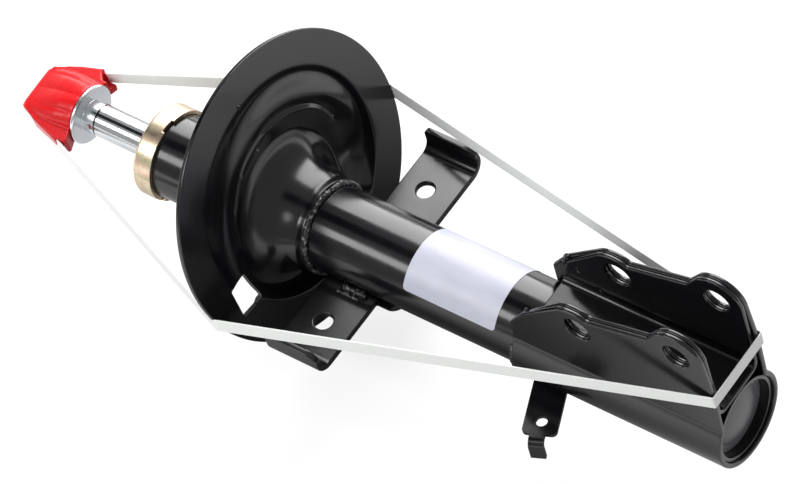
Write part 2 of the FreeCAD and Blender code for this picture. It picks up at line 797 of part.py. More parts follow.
# Weld beads
def straight_bead(start, end, radius):
    """Round-ended bead between two points."""
    run = end - start
    body = Part.makeCylinder(radius, run.Length, start, run)
    return body.fuse([Part.makeSphere(radius, start), Part.makeSphere(radius, end)])


def make_seat_weld(seat):
    tilt = math.radians(seat_collar_lean)
    centre = Vector(-seat_collar_station + seat_bead_radius * 0.3, 0, 0)
    bead = Part.makeTorus(tube_r + 0.9, seat_bead_radius, centre, Vector(math.cos(tilt), 0, math.sin(tilt)))
    return largest(bead.cut(bar(tube_r, -far, 0)).cut(seat))


def make_wing_welds(bracket):
    corner_y = math.sqrt(tube_r ** 2 - wing_drop ** 2)
    half = wing_bead_length / 2
    beads = []
    for side in (-1, 1):
        start_x = -wing_station + wing_bead_shift - half
        start = Vector(start_x, side * (corner_y + wing_bead_set), -wing_drop + 0.6)
        bead = straight_bead(start, start + Vector(wing_bead_length, 0, 0), bead_radius)
        beads.append(largest(bead.cut(bar(tube_r, -far, 0)).cut(bracket)))
    return Part.makeCompound(beads)


def make_bracket_weld(bracket):
    bead = Part.makeTorus(tube_r + 0.9, bead_radius, Vector(-wrap_length - 0.4, 0, 0), Vector(1, 0, 0))
    keep = block(-wrap_length - 10, -wrap_length + 10, -far, far, -far, ear_inner_y * 0.5)
    return largest(bead.common(keep).cut(bar(tube_r, -far, 0)).cut(bracket))


def make_ear_welds(bracket, channel):
    beads = []
    for side in (-1, 1):
        middle = Vector(-ear_toe_depth - 0.4, side * ear_inner_y, ear_toe_height - 1.0)
        half = Vector(ear_bead_length / 4, 0, ear_bead_length / 2)
        bead = straight_bead(middle - half, middle + half, bead_radius * 0.8)
        beads.append(largest(bead.cut(bracket).cut(channel)))
    return Part.makeCompound(beads)


def make_hose_weld(bracket, plate):
    low = -hose_plate_drop - hose_plate_thickness
    reach = -hose_root_reach + hose_plate_width * 0.55
    half = hose_bead_length / 2
    start = hose_frame(reach, -half, low + 0.2)
    end = hose_frame(reach, half, low + 0.2)
    bead = straight_bead(start, end, bead_radius)
    return largest(bead.cut(bar(wrap_r, -wrap_length - 1, 1)).cut(plate).cut(bracket))


def largest(shape):
    """The largest solid of a cut bead; the slivers beside it aren't part of the weld."""
    return max(shape.Solids, key=lambda solid: solid.Volume)


# Label
def make_label():
    face_r = tube_r + label_glue
    patch = ring(face_r + label_thickness, face_r, -label_station - label_length, -label_station)
    start = math.radians(label_start_angle)
    stop = math.radians(label_start_angle + label_arc)
    middle = (start + stop) / 2
    corners = [Vector(-far, 0, 0)]
    for angle in (start, (start + middle) / 2, middle, (middle + stop) / 2, stop):
        corners.append(Vector(-far, 2 * tube_od * math.cos(angle), 2 * tube_od * math.sin(angle)))
    wedge = Part.Face(Part.makePolygon(corners + corners[:1])).extrude(Vector(far, 0, 0))
    return patch.common(wedge)


# Transport cap
def cap_section(x, half_y, half_z):
    """Rounded-end section of the cap: straight sides along Y and half-round ends."""
    flat = max(half_y - half_z, 0.05)
    steps = [[(flat, half_z)], [(flat + half_z, 0), (flat, -half_z)], [(-flat, -half_z)],
             [(-flat - half_z, 0), (-flat, half_z)]]
    return outline((-flat, half_z), steps, in_yz(x))


def make_transport_cap():
    base_r = cap_base_d / 2
    top = cap_section(cap_crown_x, cap_top_length / 2, cap_top_depth / 2)
    middle_x = cap_open_x - cap_foot_length
    middle = cap_section(middle_x, base_r + 1.5, base_r - 3.0)
    low = cap_section(cap_open_x, base_r + 0.1, base_r)
    body = Part.makeLoft([top, middle, low], True, True)
    body = body.cut(cap_flutes())
    body = body.fuse(cap_feet()).removeSplitter()
    body = body.cut(bar(stud_d / 2 + turning_gap, shoulder_x - stud_length - turning_gap, cap_open_x + 1))
    body = body.cut(strap_channel())
    body.rotate(Vector(0, 0, 0), Vector(1, 0, 0), cap_turn)
    return body


def cap_flutes():
    """Grooves along the cap's broad sides, between the crown and the open end."""
    grooves = []
    base_r = cap_base_d / 2
    for index in range(cap_flute_count):
        angle = 360.0 * (index + 0.5) / cap_flute_count
        if abs(math.sin(math.radians(angle))) < 0.4:
            continue
        low = on_circle((0, 0), base_r + cap_flute_radius - cap_flute_depth, angle)
        high_y = base_r * math.cos(math.radians(angle)) * cap_top_length / cap_base_d
        high_z = math.copysign(cap_top_depth / 2 + cap_flute_radius - cap_flute_depth / 2, low[1])
        start = Vector(cap_open_x, low[0], low[1])
        run = Vector(cap_crown_x, high_y, high_z) - start
        grooves.append(Part.makeCylinder(cap_flute_radius, run.Length * 1.1, start - run * 0.05, run))
    return Part.makeCompound(grooves)


def cap_feet():
    """The two guides that lead the strap off the cap, one on each side."""
    feet = []
    half_z = cap_foot_depth / 2
    outer_y = cap_foot_reach + strap_thickness + cap_foot_wall
    inner_x = cap_open_x - cap_foot_length
    root_y = cap_base_d / 2 - 3.0
    for side in (-1, 1):
        corners = [(inner_x, root_y), (inner_x, strap_side_y(inner_x) + strap_thickness + cap_foot_wall),
                   (strap_leave_x, outer_y), (strap_leave_x, cap_foot_reach), (cap_open_x, cap_foot_reach),
                   (cap_open_x, root_y)]
        points = [Vector(x, side * y, -half_z) for x, y in corners]
        feet.append(Part.Face(Part.makePolygon(points + points[:1])).extrude(Vector(0, 0, cap_foot_depth)))
    return feet


def strap_side_y(x):
    """Half width of the strap's path where it lies against the cap, at station x."""
    share = (strap_leave_x - x) / (strap_leave_x - cap_slot_x())
    return cap_foot_reach + share * (cap_top_length / 2 + 2.0 - cap_foot_reach)


def cap_slot_x():
    """Station where the strap crosses through the cap."""
    return cap_crown_x + cap_slot_depth


def strap_channel():
    """Room for the strap through the cap: a slot across it and a channel down each side."""
    half_z = strap_width / 2 + turning_gap
    slack = turning_gap
    slot_x = cap_slot_x()
    rooms = [block(slot_x - slack, slot_x + strap_thickness + slack, -far, far, -half_z, half_z)]
    for side in (-1, 1):
        corners = [(slot_x - slack, strap_side_y(slot_x) - slack),
                   (slot_x - slack, strap_side_y(slot_x) + strap_thickness + slack),
                   (strap_leave_x, cap_foot_reach + strap_thickness + slack), (cap_open_x + 1, far),
                   (cap_open_x + 1, cap_foot_reach - slack / 2), (strap_leave_x, cap_foot_reach - slack)]
        points = [Vector(x, side * y, -half_z) for x, y in corners]
        rooms.append(Part.Face(Part.makePolygon(points + points[:1])).extrude(Vector(0, 0, 2 * half_z)))
    return Part.makeCompound(rooms)


# Transport strap
def strap_corners(side):
    """Corners of the strap's middle line on one side, from the cap to the ears."""
    height = strap_seat_near if side < 0 else strap_seat_far
    tilt = math.radians(seat_lean)
    rise = height / math.cos(tilt)
    edge = (height + strap_width / 2) / math.cos(tilt)
    rim_y = math.sqrt((seat_d / 2) ** 2 - (seat_offset - edge) ** 2)
    rim_x = -seat_station - math.sin(tilt) * rise + seat_thickness / 2
    half = strap_thickness / 2
    slot_x = cap_slot_x() + half
    corners = [
        Vector(slot_x, side * (strap_side_y(slot_x) + half), 0),
        Vector(strap_leave_x, side * (cap_foot_reach + half), 0),
        Vector(rim_x, side * (rim_y + strap_rim_spare + half), height),
        Vector(strap_gap + half, side * (ear_outer_y + strap_gap + half), strap_ear_height),
    ]
    turn = math.radians(cap_turn)
    for corner in corners[:2]:
        corner.y, corner.z = corner.y * math.cos(turn), corner.y * math.sin(turn)
    return corners


def strap_run(start, end):
    """Direction of a straight run of the strap, and of its width."""
    ahead = (end - start).normalize()
    turn = math.radians(cap_turn)
    on_cap = start.x < spacer_back_x and end.x < spacer_back_x
    up = Vector(0, -math.sin(turn), math.cos(turn)) if on_cap else Vector(0, 0, 1)
    return ahead, (up - ahead * up.dot(ahead)).normalize()


def make_transport_strap():
    loop = strap_corners(1) + strap_corners(-1)[::-1]
    count = len(loop)
    runs = [strap_run(loop[index], loop[(index + 1) % count]) for index in range(count)]
    sections = []
    for index, corner in enumerate(loop):
        (back, wide_back), (ahead, wide_ahead) = runs[index - 1], runs[index]
        mean = (back + ahead).normalize()
        wide = wide_back + wide_ahead
        wide = (wide - mean * wide.dot(mean)).normalize()
        sections.append(strap_section(corner - back * strap_bend, back, wide_back, 1))
        sections.append(strap_section(corner, mean, wide, 1 / mean.dot(ahead)))
        sections.append(strap_section(corner + ahead * strap_bend, ahead, wide_ahead, 1))
    pieces = []
    for first, second in zip(sections, sections[1:] + sections[:1]):
        pieces.append(Part.makeLoft([first, second], True, True))
    return pieces[0].fuse(pieces[1:]).removeSplitter()


def strap_section(point, ahead, wide, stretch):
    """Rectangle across the strap, stretched where it mitres two straight runs."""
    half_w = wide * (strap_width / 2)
    half_t = ahead.cross(wide).normalize() * (strap_thickness / 2 * stretch)
    corners = [point + half_w + half_t, point + half_w - half_t, point - half_w - half_t, point - half_w + half_t]
    return Part.makePolygon(corners + corners[:1])


def build_all():
    """Every node of the strut, by name."""
    seat = make_spring_seat()
    bracket = make_knuckle_bracket()
    channel = make_knuckle_channel()
    wings = make_stabiliser_bracket()
    hose = make_hose_bracket()
    return {
        "outer_tube": make_outer_tube(),
        "base_cap": make_base_cap(),
        "inner_cylinder": make_inner_cylinder(),
        "base_valve_body": make_base_valve_body(),
        "base_check_plate": make_base_check_plate(),
        "base_valve_bolt": make_base_valve_bolt(),
        "rod_guide": make_rod_guide(),
        "guide_bush": make_guide_bush(),
        "rod_seal": make_rod_seal(),
        "closing_ring": make_closing_ring(),
        "bump_stop_cap": make_bump_stop_cap(),
        "piston_rod": make_piston_rod(),
        "support_washer": make_support_washer(),
        "piston_check_plate": make_piston_check_plate(),
        "piston": make_piston(),
        "piston_band": make_piston_band(),
        "piston_discs": make_piston_discs(),
        "piston_nut": make_piston_nut(),
        "rebound_stop": make_rebound_stop(),
        "rebound_buffer": make_rebound_buffer(),
        "top_spacer": make_top_spacer(),
        "knuckle_bracket": bracket,
        "knuckle_channel": channel,
        "knuckle_weld": make_bracket_weld(bracket),
        "channel_welds": make_ear_welds(bracket, channel),
        "stabiliser_bracket": wings,
        "stabiliser_welds": make_wing_welds(wings),
        "spring_seat": seat,
        "seat_weld": make_seat_weld(seat),
        "hose_bracket": hose,
        "hose_bracket_weld": make_hose_weld(bracket, hose),
        "label": make_label(),
        "transport_cap": make_transport_cap(),
        "transport_strap": make_transport_strap(),
    }


def main():
    os.makedirs("parts", exist_ok=True)
    home = Vector(-lower_bore_x, 0, -lower_bore_height)
    for name, shape in build_all().items():
        placed = shape.copy()
        placed.translate(home)
        placed.exportStep(os.path.join("parts", name + ".step"))
        solids = len(placed.Solids)
        print(name, "solids", solids, "volume", round(placed.Volume, 1), "valid", placed.isValid())


main()
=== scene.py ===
import json
import math
import random

import bmesh
import bpy
from mathutils import Matrix, Vector

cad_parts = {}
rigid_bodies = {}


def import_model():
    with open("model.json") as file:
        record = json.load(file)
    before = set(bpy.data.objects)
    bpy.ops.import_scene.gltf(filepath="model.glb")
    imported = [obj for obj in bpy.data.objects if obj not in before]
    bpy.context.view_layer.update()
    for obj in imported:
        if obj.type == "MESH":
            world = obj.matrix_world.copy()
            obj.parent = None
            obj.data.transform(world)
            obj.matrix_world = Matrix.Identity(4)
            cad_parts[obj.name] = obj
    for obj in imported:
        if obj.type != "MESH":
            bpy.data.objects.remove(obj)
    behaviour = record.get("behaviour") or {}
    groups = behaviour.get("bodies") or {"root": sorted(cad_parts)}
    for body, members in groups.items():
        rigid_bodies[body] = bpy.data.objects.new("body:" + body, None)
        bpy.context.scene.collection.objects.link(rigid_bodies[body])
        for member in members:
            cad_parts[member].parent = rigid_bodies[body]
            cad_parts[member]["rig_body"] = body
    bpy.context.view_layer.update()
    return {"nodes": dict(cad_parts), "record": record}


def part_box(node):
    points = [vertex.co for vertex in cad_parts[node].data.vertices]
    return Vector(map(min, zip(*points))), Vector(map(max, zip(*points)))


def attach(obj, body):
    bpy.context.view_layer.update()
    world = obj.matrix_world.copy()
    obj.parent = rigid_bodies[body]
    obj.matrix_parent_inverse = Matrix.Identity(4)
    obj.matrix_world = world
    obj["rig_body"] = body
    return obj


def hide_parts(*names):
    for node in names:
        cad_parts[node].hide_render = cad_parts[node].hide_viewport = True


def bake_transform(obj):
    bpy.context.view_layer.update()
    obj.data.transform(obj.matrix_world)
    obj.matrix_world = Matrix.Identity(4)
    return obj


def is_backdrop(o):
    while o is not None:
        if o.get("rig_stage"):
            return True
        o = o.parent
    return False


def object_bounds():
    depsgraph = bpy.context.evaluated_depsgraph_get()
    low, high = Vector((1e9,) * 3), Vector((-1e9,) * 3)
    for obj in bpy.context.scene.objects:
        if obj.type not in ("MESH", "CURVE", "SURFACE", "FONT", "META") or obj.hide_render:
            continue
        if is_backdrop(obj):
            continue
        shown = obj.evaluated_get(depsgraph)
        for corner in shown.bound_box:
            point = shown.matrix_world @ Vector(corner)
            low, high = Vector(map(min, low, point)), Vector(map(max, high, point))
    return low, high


bl_info = {
    "name": "Suspension strut",
    "version": (1, 0, 0),
    "blender": (4, 5, 0),
    "location": "3D View > Sidebar > Strut",
    "description": "Finishes and pressed, welded and moulded pieces of a front suspension strut",
    "category": "Object",
}

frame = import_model()

# The pieces are drawn in millimetres with the strut's own axis as X and X = 0 at the knuckle bracket's
# end face. HOME brings them to metres in the shared frame, whose origin is the lower knuckle hole.
HOME = Matrix.Translation((0.020, 0.0, -0.0765)) @ Matrix.Diagonal((0.001, 0.001, 0.001, 1.0))
TUBE_R = 25.5  # outer radius of the strut tube
SEAT_STATION = -297.0  # where the spring seat's band crosses the tube's axis
SEAT_LEAN = math.radians(14.4)  # the band's lean towards the ears
COLLAR_LEAN = math.radians(5.0)  # the lean of the seat's collar
CAP_TURN = math.radians(4.0)  # how far the red cap is turned about the rod
RIPPLE_STEP = 1.05  # from one ripple of a weld to the next


def linear(hex_colour):
    """Linear RGBA of an sRGB hex colour."""
    channels = [int(hex_colour[i:i + 2], 16) / 255 for i in (1, 3, 5)]
    return [c / 12.92 if c <= 0.04045 else ((c + 0.055) / 1.055) ** 2.4 for c in channels] + [1.0]


# ---------------------------------------------------------------- materials


def add(tree, kind, inputs=None, stops=None, **settings):
    """A node with its settings, its links or values by socket, and a ramp's stops."""
    node = tree.nodes.new(kind)
    for name, value in settings.items():
        setattr(node, name, value)
    for key, value in (inputs or {}).items():
        if isinstance(value, bpy.types.NodeSocket):
            tree.links.new(value, node.inputs[key])
        else:
            node.inputs[key].default_value = value
    for index, (place, colour) in enumerate(stops or ()):
        ramp = node.color_ramp.elements
        stop = ramp[index] if index < len(ramp) else ramp.new(place)
        stop.position = place
        stop.color = colour
    return node


def new_finish(name, sockets):
    """A material with one Principled shader, and the Object coordinates that its patterns read."""
    material = bpy.data.materials.new(name)
    material.use_nodes = True
    tree = material.node_tree
    tree.nodes.clear()
    shader = add(tree, "ShaderNodeBsdfPrincipled", sockets)
    add(tree, "ShaderNodeOutputMaterial", {"Surface": shader.outputs["BSDF"]})
    place = add(tree, "ShaderNodeTexCoord").outputs["Object"]
    return material, tree, shader, place


def share_stop(value):
    """A ramp's colour where the ramp gives a share and not a colour."""
    return [value, value, value, 1.0]


def shade_of(colour, share):
    return [channel * share for channel in colour[:3]] + [1.0]


def join(tree, shader, tint, relief, gloss=None):
    """Lead a finish's colour, relief and roughness into its shader."""
    tree.links.new(tint.outputs["Color"], shader.inputs["Base Color"])
    tree.links.new(relief.outputs["Normal"], shader.inputs["Normal"])
    if gloss:
        tree.links.new(gloss.outputs["Result"], shader.inputs["Roughness"])


def dip_coated_black(colour, weld=False):
    # Sheet steel, dip coated and then sprayed gloss black: a deep, slightly blue black with a fine
    # orange peel, 2 mm from wave to wave, and a haze, 35 mm across, that makes some places less glossy.
    name = "gloss black paint over weld" if weld else "gloss black paint"
    material, tree, shader, place = new_finish(name, {"IOR": 1.5})
    haze = add(tree, "ShaderNodeTexNoise", {"Vector": place, "Scale": 28.0, "Detail": 5.0, "Roughness": 0.6})
    tint = add(tree, "ShaderNodeValToRGB", {"Fac": haze.outputs["Fac"]},
               [(0.35, colour), (0.75, shade_of(colour, 1.7))])
    low, high = (0.24, 0.40) if weld else (0.14, 0.23)
    gloss = add(tree, "ShaderNodeMapRange", {"Value": haze.outputs["Fac"], "From Min": 0.3, "From Max": 0.7,
                                             "To Min": low, "To Max": high})
    peel = add(tree, "ShaderNodeTexNoise", {"Vector": place, "Scale": 500.0, "Detail": 2.0})
    relief = add(tree, "ShaderNodeBump", {"Height": peel.outputs["Fac"], "Strength": 0.10, "Distance": 0.0001})
    if weld:
        # Spatter and scale under the paint, about a millimetre across.
        scale = add(tree, "ShaderNodeTexNoise", {"Vector": place, "Scale": 900.0, "Detail": 4.0})
        relief = add(tree, "ShaderNodeBump", {"Height": scale.outputs["Fac"], "Normal": relief.outputs["Normal"],
                                              "Strength": 0.7, "Distance": 0.0005})
        # In patches about 2.4 mm across the paint is thin, and the grey of the weld shows.
        worn = add(tree, "ShaderNodeTexNoise", {"Vector": place, "Scale": 420.0, "Detail": 3.0, "Roughness": 0.7})
        bare = add(tree, "ShaderNodeValToRGB", {"Fac": worn.outputs["Fac"]},
                   [(0.54, linear("#000000")), (0.64, linear("#7c7c7c"))])
        tint = add(tree, "ShaderNodeMixRGB", {"Fac": 1.0, "Color1": tint.outputs["Color"],
                                              "Color2": bare.outputs["Color"]}, blend_type="ADD")
    join(tree, shader, tint, relief, gloss)
    return material


def turned_metal(name, colours, roughness, ring_mm=0.4, mottle_mm=8.0, streaks=True, joint=None):
    # A metal that was turned or ground: fine rings around the strut's axis, each ring_mm wide,
    # and a slow mottle of two or more tones, mottle_mm across, from plating or handling.
    material, tree, shader, place = new_finish(name, {"Metallic": 1.0})
    mottle = add(tree, "ShaderNodeTexNoise", {"Vector": place, "Scale": 1000.0 / mottle_mm, "Detail": 4.0,
                                              "Roughness": 0.62, "Distortion": 0.6})
    stops = [(0.28 + 0.44 * i / max(len(colours) - 1, 1), linear(c)) for i, c in enumerate(colours)]
    tint = add(tree, "ShaderNodeValToRGB", {"Fac": mottle.outputs["Fac"]}, stops)
    if joint is not None:
        # Painted shade at the joint with the spacer, where a gap would be dark: a dark line, about a millimetre wide,
        # with an uneven edge.
        along = add(tree, "ShaderNodeSeparateXYZ", {"Vector": place}).outputs["X"]
        edge = add(tree, "ShaderNodeMath", {0: mottle.outputs["Fac"], 1: 0.0022, 2: along}, operation="MULTIPLY_ADD")
        joint_shade = add(tree, "ShaderNodeMath", {0: edge.outputs["Value"], 1: joint + 0.0014, 2: 0.0007},
                  operation="COMPARE")
        tint = add(tree, "ShaderNodeMixRGB", {"Fac": joint_shade.outputs["Value"], "Color1": tint.outputs["Color"],
                                              "Color2": linear("#212121")})
    rings = mottle
    if streaks:
        drawn_out = add(tree, "ShaderNodeMapping", {"Vector": place, "Scale": (1.0, 0.02, 0.02)})
        rings = add(tree, "ShaderNodeTexNoise", {"Vector": drawn_out.outputs["Vector"], "Scale": 1000.0 / ring_mm,
                                                 "Detail": 2.0})
    gloss = add(tree, "ShaderNodeMapRange", {"Value": rings.outputs["Fac"], "From Min": 0.3, "From Max": 0.7,
                                             "To Min": roughness * 0.75, "To Max": roughness * 1.3})
    relief = add(tree, "ShaderNodeBump", {"Height": rings.outputs["Fac"], "Strength": 0.3, "Distance": 0.00002})
    join(tree, shader, tint, relief, gloss)
    return material


def moulded_plastic(name, colour, roughness, grain_mm=1.5, relief_depth=0.00004, specular=0.5):
    # Injection moulded plastic, and the rubber, the film and the base cap's grey that look as even: one colour with
    # soft flow marks, 6 mm wide and longer along the strut, and a grain of grain_mm. The base cap's grey is painted
    # reflection of the floor.
    material, tree, shader, place = new_finish(name, {"IOR": 1.5, "Specular IOR Level": specular})
    along = add(tree, "ShaderNodeMapping", {"Vector": place, "Scale": (0.35, 1.0, 1.0)})
    flow = add(tree, "ShaderNodeTexNoise", {"Vector": along.outputs["Vector"], "Scale": 160.0, "Detail": 3.0})
    base = linear(colour)
    tint = add(tree, "ShaderNodeValToRGB", {"Fac": flow.outputs["Fac"]},
               [(0.3, shade_of(base, 0.9)), (0.7, base)])
    grain = add(tree, "ShaderNodeTexNoise", {"Vector": place, "Scale": 1000.0 / grain_mm, "Detail": 3.0})
    gloss = add(tree, "ShaderNodeMapRange", {"Value": grain.outputs["Fac"], "From Min": 0.3, "From Max": 0.7,
                                             "To Min": roughness * 0.85, "To Max": roughness * 1.15})
    relief = add(tree, "ShaderNodeBump", {"Height": grain.outputs["Fac"], "Strength": 0.25,
                                          "Distance": relief_depth})
    join(tree, shader, tint, relief, gloss)
    return material


def embossed_strapping(colour):
    # Extruded polypropylene strapping: milky white, with the small diamonds that the embossing rolls
    # press into it. Real diamonds are about 1.2 mm; they are drawn 1.8 mm so that they show.
    material, tree, shader, _ = new_finish("embossed polypropylene strapping", {
        "IOR": 1.49, "Roughness": 0.42, "Subsurface Weight": 0.15, "Subsurface Radius": (0.001, 0.001, 0.001)})
    diamond = 0.0018
    band = add(tree, "ShaderNodeUVMap", uv_map="band").outputs["UV"]
    waves = []
    for turn in (45.0, -45.0):
        turned = add(tree, "ShaderNodeMapping", {"Vector": band, "Rotation": (0.0, 0.0, math.radians(turn))})
        # A wave texture of scale 1 repeats every 2 pi / 20.
        waves.append(add(tree, "ShaderNodeTexWave", {"Vector": turned.outputs["Vector"],
                                                     "Scale": math.tau / (20.0 * diamond)}))
    both = add(tree, "ShaderNodeMath", {0: waves[0].outputs["Fac"], 1: waves[1].outputs["Fac"]},
               operation="MULTIPLY")
    tint = add(tree, "ShaderNodeValToRGB", {"Fac": both.outputs["Value"]},
               [(0.0, shade_of(colour, 0.94)), (0.6, colour)])
    relief = add(tree, "ShaderNodeBump", {"Height": both.outputs["Value"], "Strength": 0.22, "Distance": 0.00015})
    join(tree, shader, tint, relief)
    return material


FINISHES = {}  # by material slot


# ---------------------------------------------------------------- mesh helpers


def circle(bm, count, place, radius=1.0):
    """A closed ring of edges, put in place by a matrix."""
    verts = bmesh.ops.create_circle(bm, segments=count, radius=radius, matrix=place)["verts"]
    return list({edge for vert in verts for edge in vert.link_edges})


def ring_of(bm, count, shape):
    """A closed ring of edges through the points that shape(angle) gives."""
    edges = circle(bm, count, Matrix())
    for vert in {vert for edge in edges for vert in edge.verts}:
        vert.co = shape(math.atan2(vert.co.y, vert.co.x))
    return edges


def round_value(values, angle):
    """The value at an angle of a smooth closed curve through values at equal steps, or the one value."""
    if isinstance(values, (int, float)):
        return values
    place = (angle / math.tau) % 1.0 * len(values)
    step = math.floor(place)
    share = place - step
    a, b, c, d = (values[(step + k) % len(values)] for k in (-1, 0, 1, 2))
    return 0.5 * (2 * b + (c - a) * share + (2 * a - 5 * b + 4 * c - d) * share ** 2
                  + (3 * b - a - 3 * c + d) * share ** 3)


def skin(bm, rings, closed=False, capped=False):
    """Skin a list of rings, each a list of edges, one after another, and cap its ends."""
    pairs = list(zip(rings, rings[1:])) + ([(rings[-1], rings[0])] if closed else [])
    for first, second in pairs:
        bmesh.ops.bridge_loops(bm, edges=first + second)
    for ring in (rings[0], rings[-1]) if capped else ():
        bmesh.ops.edgenet_fill(bm, edges=ring)


def plate(bm, corners, sweep):
    """A flat plate with those corners, drawn out along the vector sweep."""
    face = bm.faces.new([bm.verts.new(corner) for corner in corners])
    made = bmesh.ops.extrude_face_region(bm, geom=[face])
    bmesh.ops.translate(bm, vec=sweep, verts=[v for v in made["geom"] if isinstance(v, bmesh.types.BMVert)])


def axes_facing(back, side):
    """The rotation whose Z is back and whose X is as near to side as it can be."""
    back = Vector(back).normalized()
    side = Vector(side)
    side = (side - back * side.dot(back)).normalized()
    return Matrix((side, back.cross(side), back)).transposed().to_4x4()


def add_object(name, data):
    thing = bpy.data.objects.new(name, data)
    bpy.context.scene.collection.objects.link(thing)
    return thing


def to_mesh(bm, name, at_home=False):
    """The mesh of a bmesh, with its faces outwards, in metres in the shared frame."""
    mesh = bpy.data.meshes.new(name)
    bmesh.ops.recalc_face_normals(bm, faces=bm.faces[:])
    if not at_home:
        bmesh.ops.transform(bm, matrix=HOME, verts=bm.verts[:])
    bm.to_mesh(mesh)
    bm.free()
    return mesh


def put_in_scene(mesh, name, slot, body, node, smooth_angle):
    """Make a mesh into the piece that stands for a node, with its finish and the body that it rides."""
    mesh.shade_smooth()
    mesh.set_sharp_from_angle(angle=math.radians(smooth_angle))
    mesh.materials.clear()
    mesh.materials.append(FINISHES[slot])
    piece = add_object(name, mesh)
    if body:
        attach(piece, body)
    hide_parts(node)
    return piece


def finish_piece(bm, name, slot, body, node, smooth_angle):
    """Put a piece drawn in the strut's millimetres in the scene."""
    return put_in_scene(to_mesh(bm, name), name, slot, body, node, smooth_angle)


def body_of_node(node):
    return frame["nodes"][node]["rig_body"]


def eased_copy(node, name, slot, width, held=False):
    """A copy of a solid whose sharp edges are rounded, width mm wide, as pressing and paint round them.

    Where it is held, no edge is rounded further than the shortest edge beside it allows.
    """
    bm = bmesh.new()
    bm.from_mesh(frame["nodes"][node].data)
    bmesh.ops.remove_doubles(bm, verts=bm.verts[:], dist=0.000004)
    bmesh.ops.dissolve_limit(bm, angle_limit=math.radians(0.6), use_dissolve_boundaries=False,
                             verts=bm.verts[:], edges=bm.edges[:], delimit={"NORMAL"})
    sharp = [e for e in bm.edges if len(e.link_faces) == 2 and e.calc_face_angle(0.0) > math.radians(28)]
    bmesh.ops.bevel(bm, geom=sharp, offset=width * 0.001, offset_type="OFFSET", segments=3,
                    profile=0.5, affect="EDGES", clamp_overlap=held, material=-1, loop_slide=False)
    piece = put_in_scene(to_mesh(bm, name, at_home=True), name, slot, body_of_node(node), node, 34.0)
    normals = piece.modifiers.new("even normals", "WEIGHTED_NORMAL")
    normals.keep_sharp = True
    normals.weight = 60
    return piece


def worked(mesh, kind, tool=None, **settings):
    """The mesh after one modifier, with the mesh of its tool where it has one."""
    holders = [add_object("workpiece", mesh)]
    if tool:
        holders.append(add_object("tool", tool))
    modifier = holders[0].modifiers.new("work", kind)
    if tool:
        modifier.object = holders[1]
    for name, value in settings.items():
        setattr(modifier, name, value)
    depsgraph = bpy.context.evaluated_depsgraph_get()
    done = bpy.data.meshes.new_from_object(holders[0].evaluated_get(depsgraph))
    done.name = mesh.name
    for holder in holders:
        bpy.data.objects.remove(holder)
    return done


def without_crumbs(mesh):
    """The mesh with its largest part only, without the crumbs that joining and skinning leave."""
    bm = bmesh.new()
    bm.from_mesh(mesh)
    left = set(bm.verts)
    parts = []
    while left:
        part, front = [], [left.pop()]
        while front:
            vert = front.pop()
            part.append(vert)
            near = {edge.other_vert(vert) for edge in vert.link_edges} & left
            left -= near
            front += near
        parts.append(part)
    parts.sort(key=len)
    bmesh.ops.delete(bm, geom=[vert for part in parts[:-1] for vert in part], context="VERTS")
    bm.to_mesh(mesh)
    bm.free()
    return mesh


# ---------------------------------------------------------------- sizes and colours


class StrutSizes(bpy.types.PropertyGroup):
    seat_diameter: bpy.props.FloatProperty(
        name="Seat diameter", description="Outer diameter of the spring seat", default=0.1802, unit="LENGTH")
    seat_thickness: bpy.props.FloatProperty(
        name="Seat sheet", description="Thickness of the spring seat's sheet", default=0.0028, unit="LENGTH")
    edge_round: bpy.props.FloatProperty(
        name="Edge rounding", description="Radius of the pressed sheets' painted edges", default=0.0012,
        unit="LENGTH")
    bead: bpy.props.FloatProperty(
        name="Weld bead", description="Radius of the weld beads", default=0.0024, unit="LENGTH")
    strap_width: bpy.props.FloatProperty(
        name="Strap width", description="Width of the transport strap", default=0.0096, unit="LENGTH")
    strap_thickness: bpy.props.FloatProperty(
        name="Strap thickness", description="Thickness of the transport strap", default=0.0008, unit="LENGTH")
    label_corner: bpy.props.FloatProperty(
        name="Label corner", description="Corner radius of the bare label", default=0.0025, unit="LENGTH")


class StrutColours(bpy.types.PropertyGroup):
    paint: bpy.props.FloatVectorProperty(
        name="Paint", description="Colour of the painted steel", subtype="COLOR", size=4, min=0.0, max=1.0,
        default=linear("#09080b"))
    strap: bpy.props.FloatVectorProperty(
        name="Strap", description="Colour of the transport strap", subtype="COLOR", size=4, min=0.0, max=1.0,
        default=linear("#e8eae8"))


# ---------------------------------------------------------------- operators


